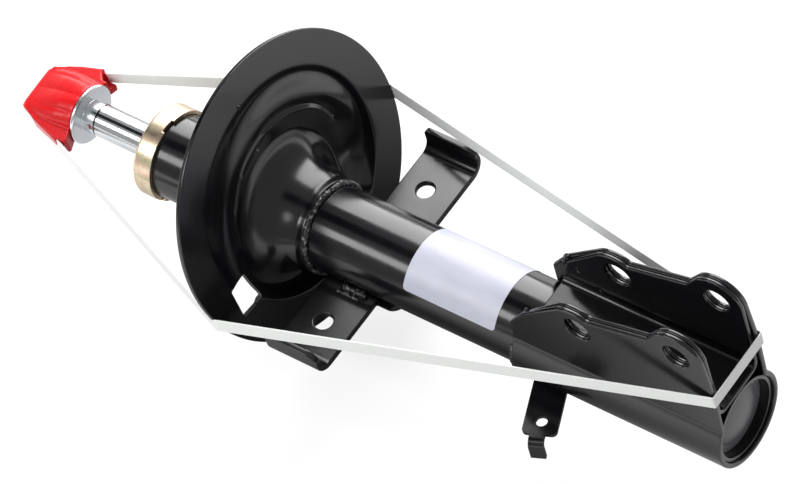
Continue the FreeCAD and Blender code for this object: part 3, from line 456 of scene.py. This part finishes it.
class STRUT_OT_finishes(bpy.types.Operator):
    """Make the finishes and give each solid its own"""

    bl_idname = "strut.finishes"
    bl_label = "Finishes"

    def execute(self, context):
        paint = list(context.scene.strut_colours.paint)
        FINISHES.update({
            "black_paint": dip_coated_black(paint),
            "black_weld": dip_coated_black(paint, weld=True),
            # Painted reflection: the base cap's face gets a mid grey that stands for the pale floor its paint
            # reflects.
            "base_disc": moulded_plastic("grey for reflected floor light", "#5c5c5f", 0.42, grain_mm=0.8),
            "bare_steel": turned_metal("turned steel", ("#8f9296", "#a9acb0"), 0.28),
            "sintered_iron": turned_metal("sintered iron", ("#56585a", "#6c6e70"), 0.5, mottle_mm=0.8,
                                          streaks=False),
            "bearing_bronze": turned_metal("bearing bronze", ("#9a7440", "#b78d52"), 0.35),
            "seal_rubber": moulded_plastic("nitrile rubber", "#17171a", 0.6),
            "buffer_plastic": moulded_plastic("natural polyamide", "#d6cfb8", 0.45),
            "band_plastic": moulded_plastic("filled PTFE band", "#3d4438", 0.5),
            "chrome_rod": turned_metal("ground hard chrome", ("#c3c6c9", "#ccd0d2"), 0.13, ring_mm=0.5,
                                       mottle_mm=5.0, joint=-0.4254),
            "bright_zinc": turned_metal("blue passivated zinc", ("#c9d6da", "#d8dde0", "#dcd2da"), 0.2,
                                        mottle_mm=11.0),
            "yellow_zinc": turned_metal("yellow passivated zinc", ("#cfc394", "#ddd4b4", "#d4b8a4", "#bcc49c"),
                                        0.28, mottle_mm=9.0, streaks=False),
            "red_plastic": moulded_plastic("red polyethylene", "#c80f17", 0.3, relief_depth=0.00001,
                                           specular=0.35),
            "strap_plastic": embossed_strapping(list(context.scene.strut_colours.strap)),
            "label_film": moulded_plastic("satin label film", "#b7b8c6", 0.4, grain_mm=0.6),
        })
        slots = {part["node"]: part["material_slot"] for part in frame["record"]["subparts"]}
        for name, node in frame["nodes"].items():
            if name not in slots:
                raise RuntimeError(f"no finish is named for {name}")
            node.data.materials.clear()
            node.data.materials.append(FINISHES[slots[name]])
        return {"FINISHED"}


class STRUT_OT_spring_seat(bpy.types.Operator):
    """Press the spring seat: flat band, stepped pan, dome and collar, with its window and holes"""

    bl_idname = "strut.spring_seat"
    bl_label = "Spring seat"

    # The pressed face from the flat band in to the dome's foot. Each line gives a ring's radii about the
    # band's centre and its heights over the band's rod side, every 30 degrees from the top towards the far
    # ear: the sharp upper edge, the wall's middle and foot, the step's two edges and the groove.
    FACE = (
        (68.4, 2.8),
        (67.7, (2.2, 2.0, 2.0, 2.3, 2.5, 2.8, 3.1, 3.1, 2.8, 2.4, 2.2, 2.2)),
        ((61.5, 64.6, 66.4, 66.8, 66.8, 66.3, 66.0, 66.6, 66.8, 64.2, 59.6, 58.8),
         (-1.9, -1.9, -1.6, 0.0, 0.6, 2.9, 4.6, 5.0, 3.8, 1.3, -1.1, -1.7)),
        ((54.0, 60.5, 64.2, 65.1, 65.3, 63.2, 63.4, 64.8, 65.0, 58.9, 50.2, 49.5),
         (-3.6, -3.0, -2.2, -1.7, -2.4, 2.8, 7.6, 7.8, 5.4, -0.4, -3.4, -3.9)),
        ((44.2, 49.6, 54.0, 57.6, 61.0, 60.2, 61.0, 62.4, 62.4, 55.0, 46.8, 42.8),
         (-1.2, 0.8, 2.2, -0.4, -4.2, 2.2, 8.6, 7.4, 4.6, 0.9, -2.0, -2.4)),
        ((38.0, 42.0, 47.2, 50.4, 56.6, 56.6, 58.2, 58.8, 59.0, 49.4, 39.8, 37.4),
         (-3.6, -2.6, -1.2, -4.2, -6.6, 1.0, 7.0, 1.8, 0.2, -0.4, -3.9, -4.2)),
        ((36.2, 40.0, 45.0, 48.0, 51.0, 53.6, 55.4, 56.8, 56.4, 46.8, 38.0, 35.8),
         (-2.2, -1.0, 0.6, -3.0, -8.2, -0.8, 2.6, 0.4, -0.8, -0.5, -2.7, -2.9)),
        ((27.5, 28.8, 32.9, 38.4, 46.9, 51.6, 53.0, 52.4, 49.8, 42.2, 34.2, 29.0),
         (-5.5, -5.9, -6.3, -7.9, -8.8, -1.5, 1.0, 0.2, -0.6, -2.6, -4.6, -5.2)),
    )
    # How far the dome has come in towards the neck, and how far along the tube, at each of its rings.
    DOME = ((0.10, 0.02), (0.28, 0.07), (0.46, 0.15), (0.64, 0.28), (0.80, 0.47), (0.91, 0.68), (0.975, 0.88))

    def execute(self, context):
        sizes = context.scene.strut_sizes
        rim_r = sizes.seat_diameter * 500
        sheet = sizes.seat_thickness * 1000
        along = Vector((math.cos(SEAT_LEAN), 0, math.sin(SEAT_LEAN)))
        up = Vector((-math.sin(SEAT_LEAN), 0, math.cos(SEAT_LEAN)))
        far = Vector((0, 1, 0))
        base = Vector((SEAT_STATION, 0, 0))
        bm = bmesh.new()

        def pressed(radii, heights, centre=26.5):
            def shape(angle):
                reach = round_value(radii, angle)
                return (base + up * (centre + reach * math.cos(angle)) + far * (reach * math.sin(angle))
                        + along * round_value(heights, angle))
            return shape

        def neck(angle, radius, station, foot):
            """A point of the collar's leaning circle, on the side of the tube where its foot is."""
            out = Vector((0, foot.y, foot.z)).normalized()
            return Vector((station - math.sin(COLLAR_LEAN) * out.z * radius, 0, 0)) + out * radius

        rings = [ring_of(bm, 72, pressed(radius, 2.8, 25.8)) for radius in (rim_r, rim_r - 2.0, 80.0, 71.0)]
        rings += [ring_of(bm, 72, pressed(*line)) for line in self.FACE]
        foot = pressed(*self.FACE[-1])
        for inward, forward in self.DOME:
            def dome(angle):
                start = foot(angle)
                run = neck(angle, 29.8, -285.4, start) - start
                return start + Vector((run.x * forward, run.y * inward, run.z * inward))
            rings.append(ring_of(bm, 72, dome))
        for radius, station in ((29.0, -284.6), (28.4, -283.4), (28.3, -281.5), (28.3, -279.0)):
            rings.append(ring_of(bm, 72, lambda angle: neck(angle, radius, station, foot(angle))))
        skin(bm, rings)
        bmesh.ops.recalc_face_normals(bm, faces=bm.faces[:])
        if sum(face.normal.dot(along) for face in bm.faces) < 0:
            bmesh.ops.reverse_faces(bm, faces=bm.faces[:])
        bm.normal_update()
        # The sheet's other face lies one thickness behind the pressed one.
        behind = [(vert, vert.co - vert.normal * sheet) for vert in bm.verts]
        twin = bmesh.ops.duplicate(bm, geom=bm.verts[:] + bm.edges[:] + bm.faces[:])
        for vert, place in behind:
            twin["vert_map"][vert].co = place
        for edges in (rings[0], rings[-1]):
            bmesh.ops.bridge_loops(bm, edges=edges + [twin["edge_map"][edge] for edge in edges])
        bmesh.ops.recalc_face_normals(bm, faces=bm.faces[:])
        rims = [edge for edge in bm.edges if edge.calc_face_angle(0.0) > math.radians(60)]
        bmesh.ops.bevel(bm, geom=rims, offset=0.5, offset_type="OFFSET", segments=2, profile=0.5,
                        affect="EDGES", material=-1)
        pan = worked(to_mesh(bm, "spring_pan"), "SUBSURF", levels=2, render_levels=2)

        # The square window with its clipped corner, and the two small holes, one above the tube and one near
        # the band's top. Their places are up from the tube's axis and towards the far ear.
        cutter = bmesh.new()
        window = [(13.0, -56.2), (12.0, -69.5), (-8.3, -70.6), (-9.4, -58.8), (-4.9, -54.9)]
        plate(cutter, [base + up * rise + far * side - along * 14 for rise, side in window], along * 40)
        upright = [e for e in cutter.edges if abs((e.verts[0].co - e.verts[1].co).normalized().dot(along)) > 0.99]
        bmesh.ops.bevel(cutter, geom=upright, offset=1.2, offset_type="OFFSET", segments=4, profile=0.5,
                        affect="EDGES", material=-1)
        turn = along.to_track_quat("Z", "Y").to_matrix().to_4x4()
        for rise, side in ((95.6, -4.2), (57.0, -4.4)):
            bmesh.ops.create_cone(cutter, cap_ends=True, segments=32, radius1=1.9, radius2=1.9, depth=40,
                                  matrix=Matrix.Translation(base + up * rise + far * side) @ turn)
        pan = worked(pan, "BOOLEAN", to_mesh(cutter, "seat_tools"), operation="DIFFERENCE", solver="MANIFOLD")
        put_in_scene(pan, "spring_pan", "black_paint", "strut_tube", "spring_seat", 38.0)
        return {"FINISHED"}


class STRUT_OT_pressings(bpy.types.Operator):
    """Round the edges of the tube, the brackets and the base cap"""

    bl_idname = "strut.pressings"
    bl_label = "Tube and brackets"

    def execute(self, context):
        width = context.scene.strut_sizes.edge_round * 1000
        eased_copy("outer_tube", "strut_tube_body", "black_paint", 0.5)
        base = eased_copy("base_cap", "domed_base", "black_paint", 0.5)
        # The base cap's face takes the grey that stands for reflected floor light: a painted reflection.
        base.data.materials[0] = FINISHES["base_disc"]
        eased_copy("knuckle_bracket", "knuckle_ears", "black_paint", width)
        eased_copy("knuckle_channel", "knuckle_web", "black_paint", width)
        eased_copy("stabiliser_bracket", "link_wings", "black_paint", width * 0.75)
        eased_copy("hose_bracket", "hose_holder", "black_paint", width * 0.65, held=True)
        return {"FINISHED"}


class STRUT_OT_welds(bpy.types.Operator):
    """Lay the welds as rippled beads"""

    bl_idname = "strut.welds"
    bl_label = "Welds"

    def lay(self, bm, points, radius, seed, squeeze, closed=False):
        """A bead along points, a third of them on the crest of a ripple, with its height squeezed."""
        rng = random.Random(seed)
        rings = []
        count = len(points)
        for index, point in enumerate(points):
            back = points[index - 1] if index or closed else point
            ahead = points[(index + 1) % count] if index < count - 1 or closed else point
            flow = (ahead - back).normalized()
            ripple = 1.0 + 0.12 * (index % 3 == 1) - 0.05 * (index % 3 == 0) + rng.uniform(-0.1, 0.1)
            end = min(index, count - 1 - index)
            taper = 1.0 if closed else (0.55, 0.85, 1.0)[min(end, 2)]
            size = radius * ripple * taper
            turn = flow.to_track_quat("Z", "X").to_matrix().to_4x4()
            rings.append(circle(bm, 14, Matrix.Translation(point) @ turn @ Matrix.Diagonal((1, squeeze, 1, 1)), size))
        skin(bm, rings, closed, capped=not closed)

    def execute(self, context):
        bead = context.scene.strut_sizes.bead * 1000
        # Around the tube at the seat's collar.
        bm = bmesh.new()
        collar_up = Vector((-math.sin(COLLAR_LEAN), 0, math.cos(COLLAR_LEAN)))
        middle_r = TUBE_R + 0.8
        steps = round(math.tau * TUBE_R / RIPPLE_STEP)
        around = []
        for index in range(steps):
            angle = math.tau * index / steps
            wander = 0.35 * math.sin(3 * angle + 0.7) + 0.2 * math.sin(7 * angle)
            around.append(Vector((-278.2 + wander, middle_r * math.sin(angle), 0))
                          + collar_up * (middle_r * math.cos(angle)))
        self.lay(bm, around, radius=1.9, seed=3, squeeze=1.0, closed=True)
        finish_piece(bm, "collar_weld_bead", "black_weld", "strut_tube", "seat_weld", 50.0)
        # Along the bracket's rod side edge, round the lower side of the tube.
        bm = bmesh.new()
        middle_r = TUBE_R + 0.9
        points = []
        for index in range(85):
            angle = math.radians(-205 + 230 * index / 84)
            points.append(Vector((-136.6 + 0.3 * math.sin(5 * angle), middle_r * math.cos(angle),
                                  middle_r * math.sin(angle))))
        self.lay(bm, points, bead, seed=5, squeeze=0.9)
        finish_piece(bm, "knuckle_weld_bead", "black_weld", "strut_tube", "knuckle_weld", 50.0)
        # At the toes of the two ears.
        bm = bmesh.new()
        for side in (-1, 1):
            start = Vector((-125.6, side * 19.8, 41.0))
            step = Vector((0.35, 0, 1.0)).normalized() * RIPPLE_STEP
            size = bead * (0.45 if side < 0 else 0.75)
            self.lay(bm, [start + step * k for k in range(9)], size, seed=7 + side, squeeze=1.0)
        finish_piece(bm, "ear_toe_welds", "black_weld", "strut_tube", "channel_welds", 50.0)
        # Between the wings and the tube.
        bm = bmesh.new()
        for side in (-1, 1):
            for start, size, count in ((Vector((-256.0, side * 26.2, -9.0)), bead, 17),
                                       (Vector((-257.5, side * 29.6, -10.4)), bead * 0.75, 15)):
                step = Vector((RIPPLE_STEP, side * 0.02, 0))
                self.lay(bm, [start + step * k for k in range(count)], size, seed=11 + side, squeeze=0.9)
        finish_piece(bm, "wing_weld_beads", "black_weld", "strut_tube", "stabiliser_welds", 50.0)
        # Where the hose bracket meets the knuckle bracket.
        bm = bmesh.new()
        low, high = (HOME.inverted() @ Vector(corner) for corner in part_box("hose_bracket_weld"))
        height = (low.z + high.z) / 2
        start, end = Vector((low.x, low.y, height)), Vector((high.x, high.y, height))
        count = max(6, round((end - start).length / RIPPLE_STEP))
        inset = 0.12
        run = [start.lerp(end, inset + (1 - 2 * inset) * k / (count - 1)) for k in range(count)]
        self.lay(bm, run, bead * 0.8, seed=17, squeeze=0.9)
        finish_piece(bm, "hose_bracket_bead", "black_weld", "strut_tube", "hose_bracket_weld", 50.0)
        return {"FINISHED"}


class STRUT_OT_rod_end(bpy.types.Operator):
    """Round the edges of the rod, the flanged spacer and the bump stop cap"""

    bl_idname = "strut.rod_end"
    bl_label = "Rod end"

    def execute(self, context):
        eased_copy("bump_stop_cap", "bump_stop_shell", "yellow_zinc", 0.5)
        eased_copy("top_spacer", "flanged_spacer", "bright_zinc", 0.3)
        eased_copy("piston_rod", "chromed_rod", "chrome_rod", 0.3)
        return {"FINISHED"}


class STRUT_OT_transport_cap(bpy.types.Operator):
    """Mould the red cap: a wedge with soft lobes, and on each side a groove that leads the strap"""

    bl_idname = "strut.transport_cap"
    bl_label = "Transport cap"

    # Station, half length across the ears, half depth, squareness and lobe height of each section.
    BODY = ((-494.25, 13.2, 3.4, 7.0, 0.0), (-494.1, 14.0, 4.4, 7.0, 0.0), (-493.5, 14.6, 5.4, 6.0, 0.05),
            (-492.3, 15.0, 6.3, 5.0, 0.1), (-488.5, 15.8, 7.7, 4.4, 0.35), (-482.0, 17.0, 10.3, 3.6, 0.75),
            (-475.0, 18.0, 13.2, 2.8, 1.0), (-468.0, 18.4, 15.6, 2.3, 1.1), (-461.5, 18.2, 17.0, 2.0, 0.9),
            (-457.2, 17.9, 17.6, 2.0, 0.7), (-456.3, 17.6, 17.4, 2.0, 0.6), (-456.25, 16.2, 16.0, 2.0, 0.0),
            (-459.0, 15.6, 15.4, 2.0, 0.0), (-459.0, 8.0, 8.0, 2.0, 0.0))

    def slab(self, bm, outline, side, low, high):
        """A plate with an outline of stations and reaches on one side of the rod, between two heights."""
        plate(bm, [(x, side * y, low) for x, y in outline], (0, 0, high - low))

    def execute(self, context):
        turn = Matrix.Rotation(CAP_TURN, 4, "X")
        bm = bmesh.new()
        rings = []
        for station, half_y, half_z, square, lobe in self.BODY:
            def section(angle):
                c, s = math.cos(angle), math.sin(angle)
                reach = (abs(c) ** square + abs(s) ** square) ** (-1.0 / square)
                swell = lobe * (abs(math.cos(5 * angle)) ** 0.75 - 0.75)
                return Vector((station, c * (reach * half_y + swell), s * (reach * half_z + swell)))
            rings.append(ring_of(bm, 120, section))
        skin(bm, rings, capped=True)
        bmesh.ops.transform(bm, matrix=turn, verts=bm.verts[:])
        cap = to_mesh(bm, "stud_cap")
        guides, grooves = bmesh.new(), bmesh.new()
        for side in (-1, 1):
            guide = [(-491.0, 10.0), (-491.6, 15.2), (-476.0, 22.6), (-461.4, 27.3), (-460.2, 26.9), (-459.8, 24.6),
                     (-454.6, 24.9), (-453.6, 23.6), (-456.25, 16.0), (-470.0, 12.0)]
            self.slab(guides, guide, side, -6.2, 6.2)
            groove = [(-486.0, 17.2), (-486.0, 18.3), (-475.0, 21.8), (-460.25, 26.2), (-450.0, 32.0),
                      (-450.0, 26.8), (-460.25, 25.0), (-475.0, 20.6)]
            self.slab(grooves, groove, side, -5.0, 5.0)
            # The far foot is notched on its upper half, and the near one has lost its outer wall.
            mouth = ([(-462.0, 24.4), (-462.0, 32.0), (-450.0, 32.0), (-450.0, 20.0), (-458.4, 20.0)] if side > 0
                     else [(-483.0, 18.2), (-483.0, 24.0), (-461.0, 32.0), (-450.0, 32.0), (-450.0, 26.8),
                           (-460.25, 25.0), (-475.0, 20.6)])
            self.slab(grooves, mouth, side, -2.0 if side > 0 else -12.0, 12.0)
        for tool in (guides, grooves):
            bmesh.ops.recalc_face_normals(tool, faces=tool.faces[:])
            bmesh.ops.transform(tool, matrix=turn, verts=tool.verts[:])
        cap = worked(cap, "BOOLEAN", to_mesh(guides, "guides"), operation="UNION", solver="MANIFOLD")
        cap = worked(cap, "BOOLEAN", to_mesh(grooves, "grooves"), operation="DIFFERENCE", solver="MANIFOLD")
        # One even skin over the joined forms, with the small radii that a mould leaves on every edge.
        cap = worked(cap, "REMESH", mode="VOXEL", voxel_size=0.0005)
        cap = without_crumbs(worked(cap, "SMOOTH", factor=0.5, iterations=8))
        put_in_scene(cap, "stud_cap", "red_plastic", body_of_node("transport_cap"), "transport_cap", 60.0)
        return {"FINISHED"}


class STRUT_OT_transport_strap(bpy.types.Operator):
    """Lead the strap round the cap, over the pan's rim and across the ears"""

    bl_idname = "strut.transport_strap"
    bl_label = "Transport strap"

    def corners(self, side):
        """Corners of the strap's middle line on one side, with their bend radii and width directions."""
        near = side < 0
        height, rim_y = (5.0, 88.5) if near else (10.0, 89.5)
        rim_x = SEAT_STATION - math.tan(SEAT_LEAN) * height + 1.4
        across = Vector((0, side * math.cos(CAP_TURN), side * math.sin(CAP_TURN)))
        return [
            (Vector((-488.35, 0, 0)) + across * 16.9, 1.2, Vector((0, -0.07, 1))),
            (Vector((-460.25, 0, 0)) + across * 25.6, 2.0, Vector((0, 0.12 if near else -0.07, 1))),
            (Vector((rim_x, side * rim_y, height)), 3.0, Vector((-0.05, 0.06, 1) if near else (-0.2, 0.18, 1))),
            (Vector((0.6, side * 23.6, 48.5)), 1.0, Vector((0, 0, 1))),
        ]

    def execute(self, context):
        sizes = context.scene.strut_sizes
        half_w, half_t = sizes.strap_width * 500, sizes.strap_thickness * 500
        route = self.corners(1) + self.corners(-1)[::-1]
        # Every station of the band: its point, its direction and the direction of its width.
        stations = []
        for index, (corner, radius, wide) in enumerate(route):
            following, _, next_wide = route[(index + 1) % len(route)]
            back = (corner - route[index - 1][0]).normalized()
            ahead = (following - corner).normalized()
            bend = back.angle(ahead)
            reach = radius * math.tan(bend / 2)
            middle = corner + (ahead - back).normalized() * (radius / math.cos(bend / 2))
            start = corner - back * reach
            steps = max(3, round(math.degrees(bend) / 9))
            axis = back.cross(ahead).normalized()
            for step in range(steps + 1):
                turn = Matrix.Rotation(bend * step / steps, 3, axis)
                stations.append((middle + turn @ (start - middle), turn @ back, wide))
            parts = max(1, round((following - corner).length / 7.0))
            for share in (step / parts for step in range(1, parts)):
                stations.append((corner.lerp(following, share), ahead, wide.lerp(next_wide, share)))
        bm = bmesh.new()
        flank = half_w - half_t * 0.7
        rows = []
        for point, flow, wide in stations:
            across = (wide - flow * wide.dot(flow)).normalized()
            out = flow.cross(across).normalized()
            section = [(half_w, 0.0), (flank, half_t), (-flank, half_t), (-half_w, 0.0), (-flank, -half_t),
                       (flank, -half_t)]
            rows.append([bm.verts.new(point + across * a + out * b) for a, b in section])
        # The pattern's coordinates are metres along the band and metres across it.
        uv = bm.loops.layers.uv.new("band")
        width_at = [place * 0.001 for place in (2 * half_w, 2 * half_w - half_t, half_t, 0.0, half_t,
                                                2 * half_w - half_t)]
        length = 0.0
        for index, row in enumerate(rows):
            ahead = (index + 1) % len(rows)
            step = (stations[ahead][0] - stations[index][0]).length * 0.001
            for low in range(6):
                high = (low + 1) % 6
                face = bm.faces.new((row[low], row[high], rows[ahead][high], rows[ahead][low]))
                corners = ((0.0, low), (0.0, high), (step, high), (step, low))
                for corner, (further, place) in zip(face.loops, corners):
                    corner[uv].uv = (length + further, width_at[place])
            length += step
        piece = finish_piece(bm, "strap_band", "strap_plastic", None, "transport_strap", 50.0)
        start, end = (tuple(HOME @ Vector((station, 0, 0))) for station in (-290.0, -459.0))
        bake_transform(piece)
        return {"FINISHED"}


class STRUT_OT_label(bpy.types.Operator):
    """Lay the bare label on the tube"""

    bl_idname = "strut.label"
    bl_label = "Label"

    def execute(self, context):
        corner = context.scene.strut_sizes.label_corner * 1000
        bm = bmesh.new()
        station, length = -212.0, 62.0
        start, turn = math.radians(10), math.radians(142)
        glue, film = 0.06, 0.14
        inner_r = TUBE_R + glue
        arc = turn * inner_r
        bm.faces.new([bm.verts.new((x + corner * math.cos(angle), y + corner * math.sin(angle), 0))
                      for x, y, first in ((length - corner, arc - corner, 0), (corner, arc - corner, 90),
                                          (corner, corner, 180), (length - corner, corner, 270))
                      for angle in (math.radians(first + 15 * k) for k in range(7))])
        # Cut into 40 strips, the flat film bends round the tube.
        for k in range(1, 40):
            geom = bm.verts[:] + bm.edges[:] + bm.faces[:]
            bmesh.ops.bisect_plane(bm, geom=geom, dist=1e-5, plane_co=(0, arc * k / 40, 0), plane_no=(0, 1, 0))
        for vert in bm.verts:
            angle = start + vert.co.y / inner_r
            vert.co = Vector((station + vert.co.x, inner_r * math.cos(angle), inner_r * math.sin(angle)))
        bmesh.ops.recalc_face_normals(bm, faces=bm.faces[:])
        for face in bm.faces:
            middle = face.calc_center_median()
            if face.normal.dot(Vector((0, middle.y, middle.z))) < 0:
                face.normal_flip()
        bmesh.ops.solidify(bm, geom=bm.faces[:], thickness=-film)
        finish_piece(bm, "bare_label", "label_film", "strut_tube", "label", 40.0)
        return {"FINISHED"}


class STRUT_OT_stage(bpy.types.Operator):
    """Set the floor, the soft lights and the camera"""

    bl_idname = "strut.stage"
    bl_label = "Stage"

    AIM = (-0.2, 0.0, -0.07)  # the middle of the strut, which the lights face

    def facing_strut(self, direction, distance):
        """The place that far from the strut in that direction, turned to face it."""
        place = Vector(self.AIM) + Vector(direction).normalized() * distance
        return Matrix.Translation(place) @ axes_facing(direction, (1, 0, 0))

    def softbox(self, name, direction, size_x, size_y, watts):
        light = bpy.data.lights.new(name, "AREA")
        light.shape = "RECTANGLE"
        light.size = size_x
        light.size_y = size_y
        light.energy = watts
        holder = add_object(name, light)
        holder.matrix_world = self.facing_strut(direction, 1.6)
        holder.visible_camera = False
        return holder

    def sheet(self, name, size, place, material):
        """A flat square of the stage, twice size wide."""
        bm = bmesh.new()
        bmesh.ops.create_grid(bm, x_segments=1, y_segments=1, size=size, matrix=place)
        mesh = bpy.data.meshes.new(name)
        bm.to_mesh(mesh)
        bm.free()
        mesh.materials.append(material)
        holder = add_object(name, mesh)
        holder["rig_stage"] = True
        return holder

    def execute(self, context):
        self.floor()
        self.lights()
        self.room(context.scene)
        self.camera(context.scene)
        return {"FINISHED"}

    def floor(self):
        material, tree, shader, place = new_finish("pale studio table", {
            "Roughness": 0.9, "Specular IOR Level": 0.0, "Emission Color": linear("#ffffff")})
        soft = add(tree, "ShaderNodeTexNoise", {"Vector": place, "Scale": 3.0, "Detail": 2.0})
        tint = add(tree, "ShaderNodeValToRGB", {"Fac": soft.outputs["Fac"]},
                   [(0.3, linear("#a0a0a0")), (0.7, linear("#a4a4a4"))])
        # The table is lit from within, so that it photographs white. The object sees less of that light, and more of
        # it with the distance
        # from the strut: painted shadow of the strut, seen only in the paint's reflections.
        path = add(tree, "ShaderNodeLightPath")
        sight = add(tree, "ShaderNodeMath", {0: path.outputs["Is Camera Ray"], 1: 0.68}, operation="MULTIPLY")
        apart = add(tree, "ShaderNodeMapping", {"Vector": place, "Location": (0.14, 0.0, 0.0),
                                                "Scale": (0.7, 1.0, 0.0)})
        reach = add(tree, "ShaderNodeVectorMath", {0: apart.outputs["Vector"]}, operation="LENGTH")
        painted_shadow_ramp = add(tree, "ShaderNodeValToRGB", {"Fac": reach.outputs["Value"]},
                     [(0.08, share_stop(0.0)), (0.22, share_stop(0.6)), (0.8, share_stop(1.0))])
        reflected_glow = add(tree, "ShaderNodeMath", {0: painted_shadow_ramp.outputs["Color"], 1: 1.9}, operation="MULTIPLY")
        mirrored = add(tree, "ShaderNodeMath", {0: path.outputs["Is Glossy Ray"], 1: reflected_glow.outputs["Value"],
                                                2: sight.outputs["Value"]}, operation="MULTIPLY_ADD")
        # Painted shade: in reflections the table's colour is mixed towards dark grey.
        shade = add(tree, "ShaderNodeMath", {0: path.outputs["Is Glossy Ray"], 1: 0.6}, operation="MULTIPLY")
        tint = add(tree, "ShaderNodeMixRGB", {"Fac": shade.outputs["Value"], "Color1": tint.outputs["Color"],
                                              "Color2": linear("#272727")})
        tree.links.new(tint.outputs["Color"], shader.inputs["Base Color"])
        tree.links.new(mirrored.outputs["Value"], shader.inputs["Emission Strength"])
        low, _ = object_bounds()
        self.sheet("floor", 30.0, Matrix.Translation((-0.2, 0, low.z - 0.001)), material)

    def lights(self):
        self.softbox("softbox_far", (-0.30, 0.77, 0.57), 1.3, 1.5, 46.0)
        self.softbox("softbox_near", (-0.35, -0.65, 0.67), 1.3, 0.42, 13.0)
        # A white card beside the strut fills the strap, the label and the cap without a mirror image in the paint.
        card = self.softbox("bounce_card", (0.05, -0.97, 0.25), 1.4, 0.9, 7.0)
        card.visible_glossy = False
        # A black flag between the two softboxes gives the dark line along the rod and the tube.
        cloth, tree, shader, place = new_finish("black flag cloth", {"Roughness": 1.0, "Specular IOR Level": 0.0})
        weave = add(tree, "ShaderNodeTexNoise", {"Vector": place, "Scale": 400.0})
        tint = add(tree, "ShaderNodeValToRGB", {"Fac": weave.outputs["Fac"]},
                   [(0.3, linear("#191919")), (0.7, linear("#272727"))])
        tree.links.new(tint.outputs["Color"], shader.inputs["Base Color"])
        place = self.facing_strut((-0.42, -0.12, 0.86), 1.5) @ Matrix.Diagonal((2.4, 0.48, 1, 1))
        flag = self.sheet("flag", 0.5, place, cloth)
        flag.visible_camera = flag.visible_diffuse = flag.visible_shadow = False

    def room(self, scene):
        world = bpy.data.worlds.new("studio")
        scene.world = world
        world.use_nodes = True
        tree = world.node_tree
        tree.nodes.clear()
        path = add(tree, "ShaderNodeLightPath")
        room = add(tree, "ShaderNodeBackground", {"Color": linear("#ffffff"), "Strength": 0.5})
        backdrop = add(tree, "ShaderNodeBackground", {"Color": linear("#ffffff"), "Strength": 1.0})
        mix = add(tree, "ShaderNodeMixShader", {0: path.outputs["Is Camera Ray"], 1: room.outputs["Background"],
                                                2: backdrop.outputs["Background"]})
        add(tree, "ShaderNodeOutputWorld", {"Surface": mix.outputs["Shader"]})

    def camera(self, scene):
        """The photograph's camera: its place, what lies behind it and its right hand side."""
        data = bpy.data.cameras.new("camera")
        data.sensor_width = 36.0
        data.lens = 218.5
        data.clip_start, data.clip_end = 0.05, 100.0
        camera = add_object("camera", data)
        camera.matrix_world = (Matrix.Translation((1.0326, -1.0696, 2.0770))
                               @ axes_facing((0.461, -0.3974, 0.7934), (0.8055, 0.5626, -0.1862)))
        scene.camera = camera
        scene.view_settings.view_transform = "Standard"
        scene.view_settings.look = "None"
        scene.view_settings.exposure = 0.0


STEPS = (STRUT_OT_finishes, STRUT_OT_spring_seat, STRUT_OT_pressings, STRUT_OT_welds, STRUT_OT_rod_end,
         STRUT_OT_transport_cap, STRUT_OT_transport_strap, STRUT_OT_label, STRUT_OT_stage)


class STRUT_PT_panel(bpy.types.Panel):
    bl_label = "Suspension strut"
    bl_idname = "STRUT_PT_panel"
    bl_space_type = "VIEW_3D"
    bl_region_type = "UI"
    bl_category = "Strut"

    def draw(self, context):
        for group in (context.scene.strut_sizes, context.scene.strut_colours):
            for name in group.__annotations__:
                self.layout.prop(group, name)
        for step in STEPS:
            self.layout.operator(step.bl_idname)


CLASSES = (StrutSizes, StrutColours) + STEPS + (STRUT_PT_panel,)


def register():
    for item in CLASSES:
        bpy.utils.register_class(item)
    bpy.types.Scene.strut_sizes = bpy.props.PointerProperty(type=StrutSizes)
    bpy.types.Scene.strut_colours = bpy.props.PointerProperty(type=StrutColours)


def unregister():
    del bpy.types.Scene.strut_colours
    del bpy.types.Scene.strut_sizes
    for item in reversed(CLASSES):
        bpy.utils.unregister_class(item)


def main():
    register()
    for step in STEPS:
        group, name = step.bl_idname.split(".")
        getattr(getattr(bpy.ops, group), name)()


if __name__ == "__main__":
    main()
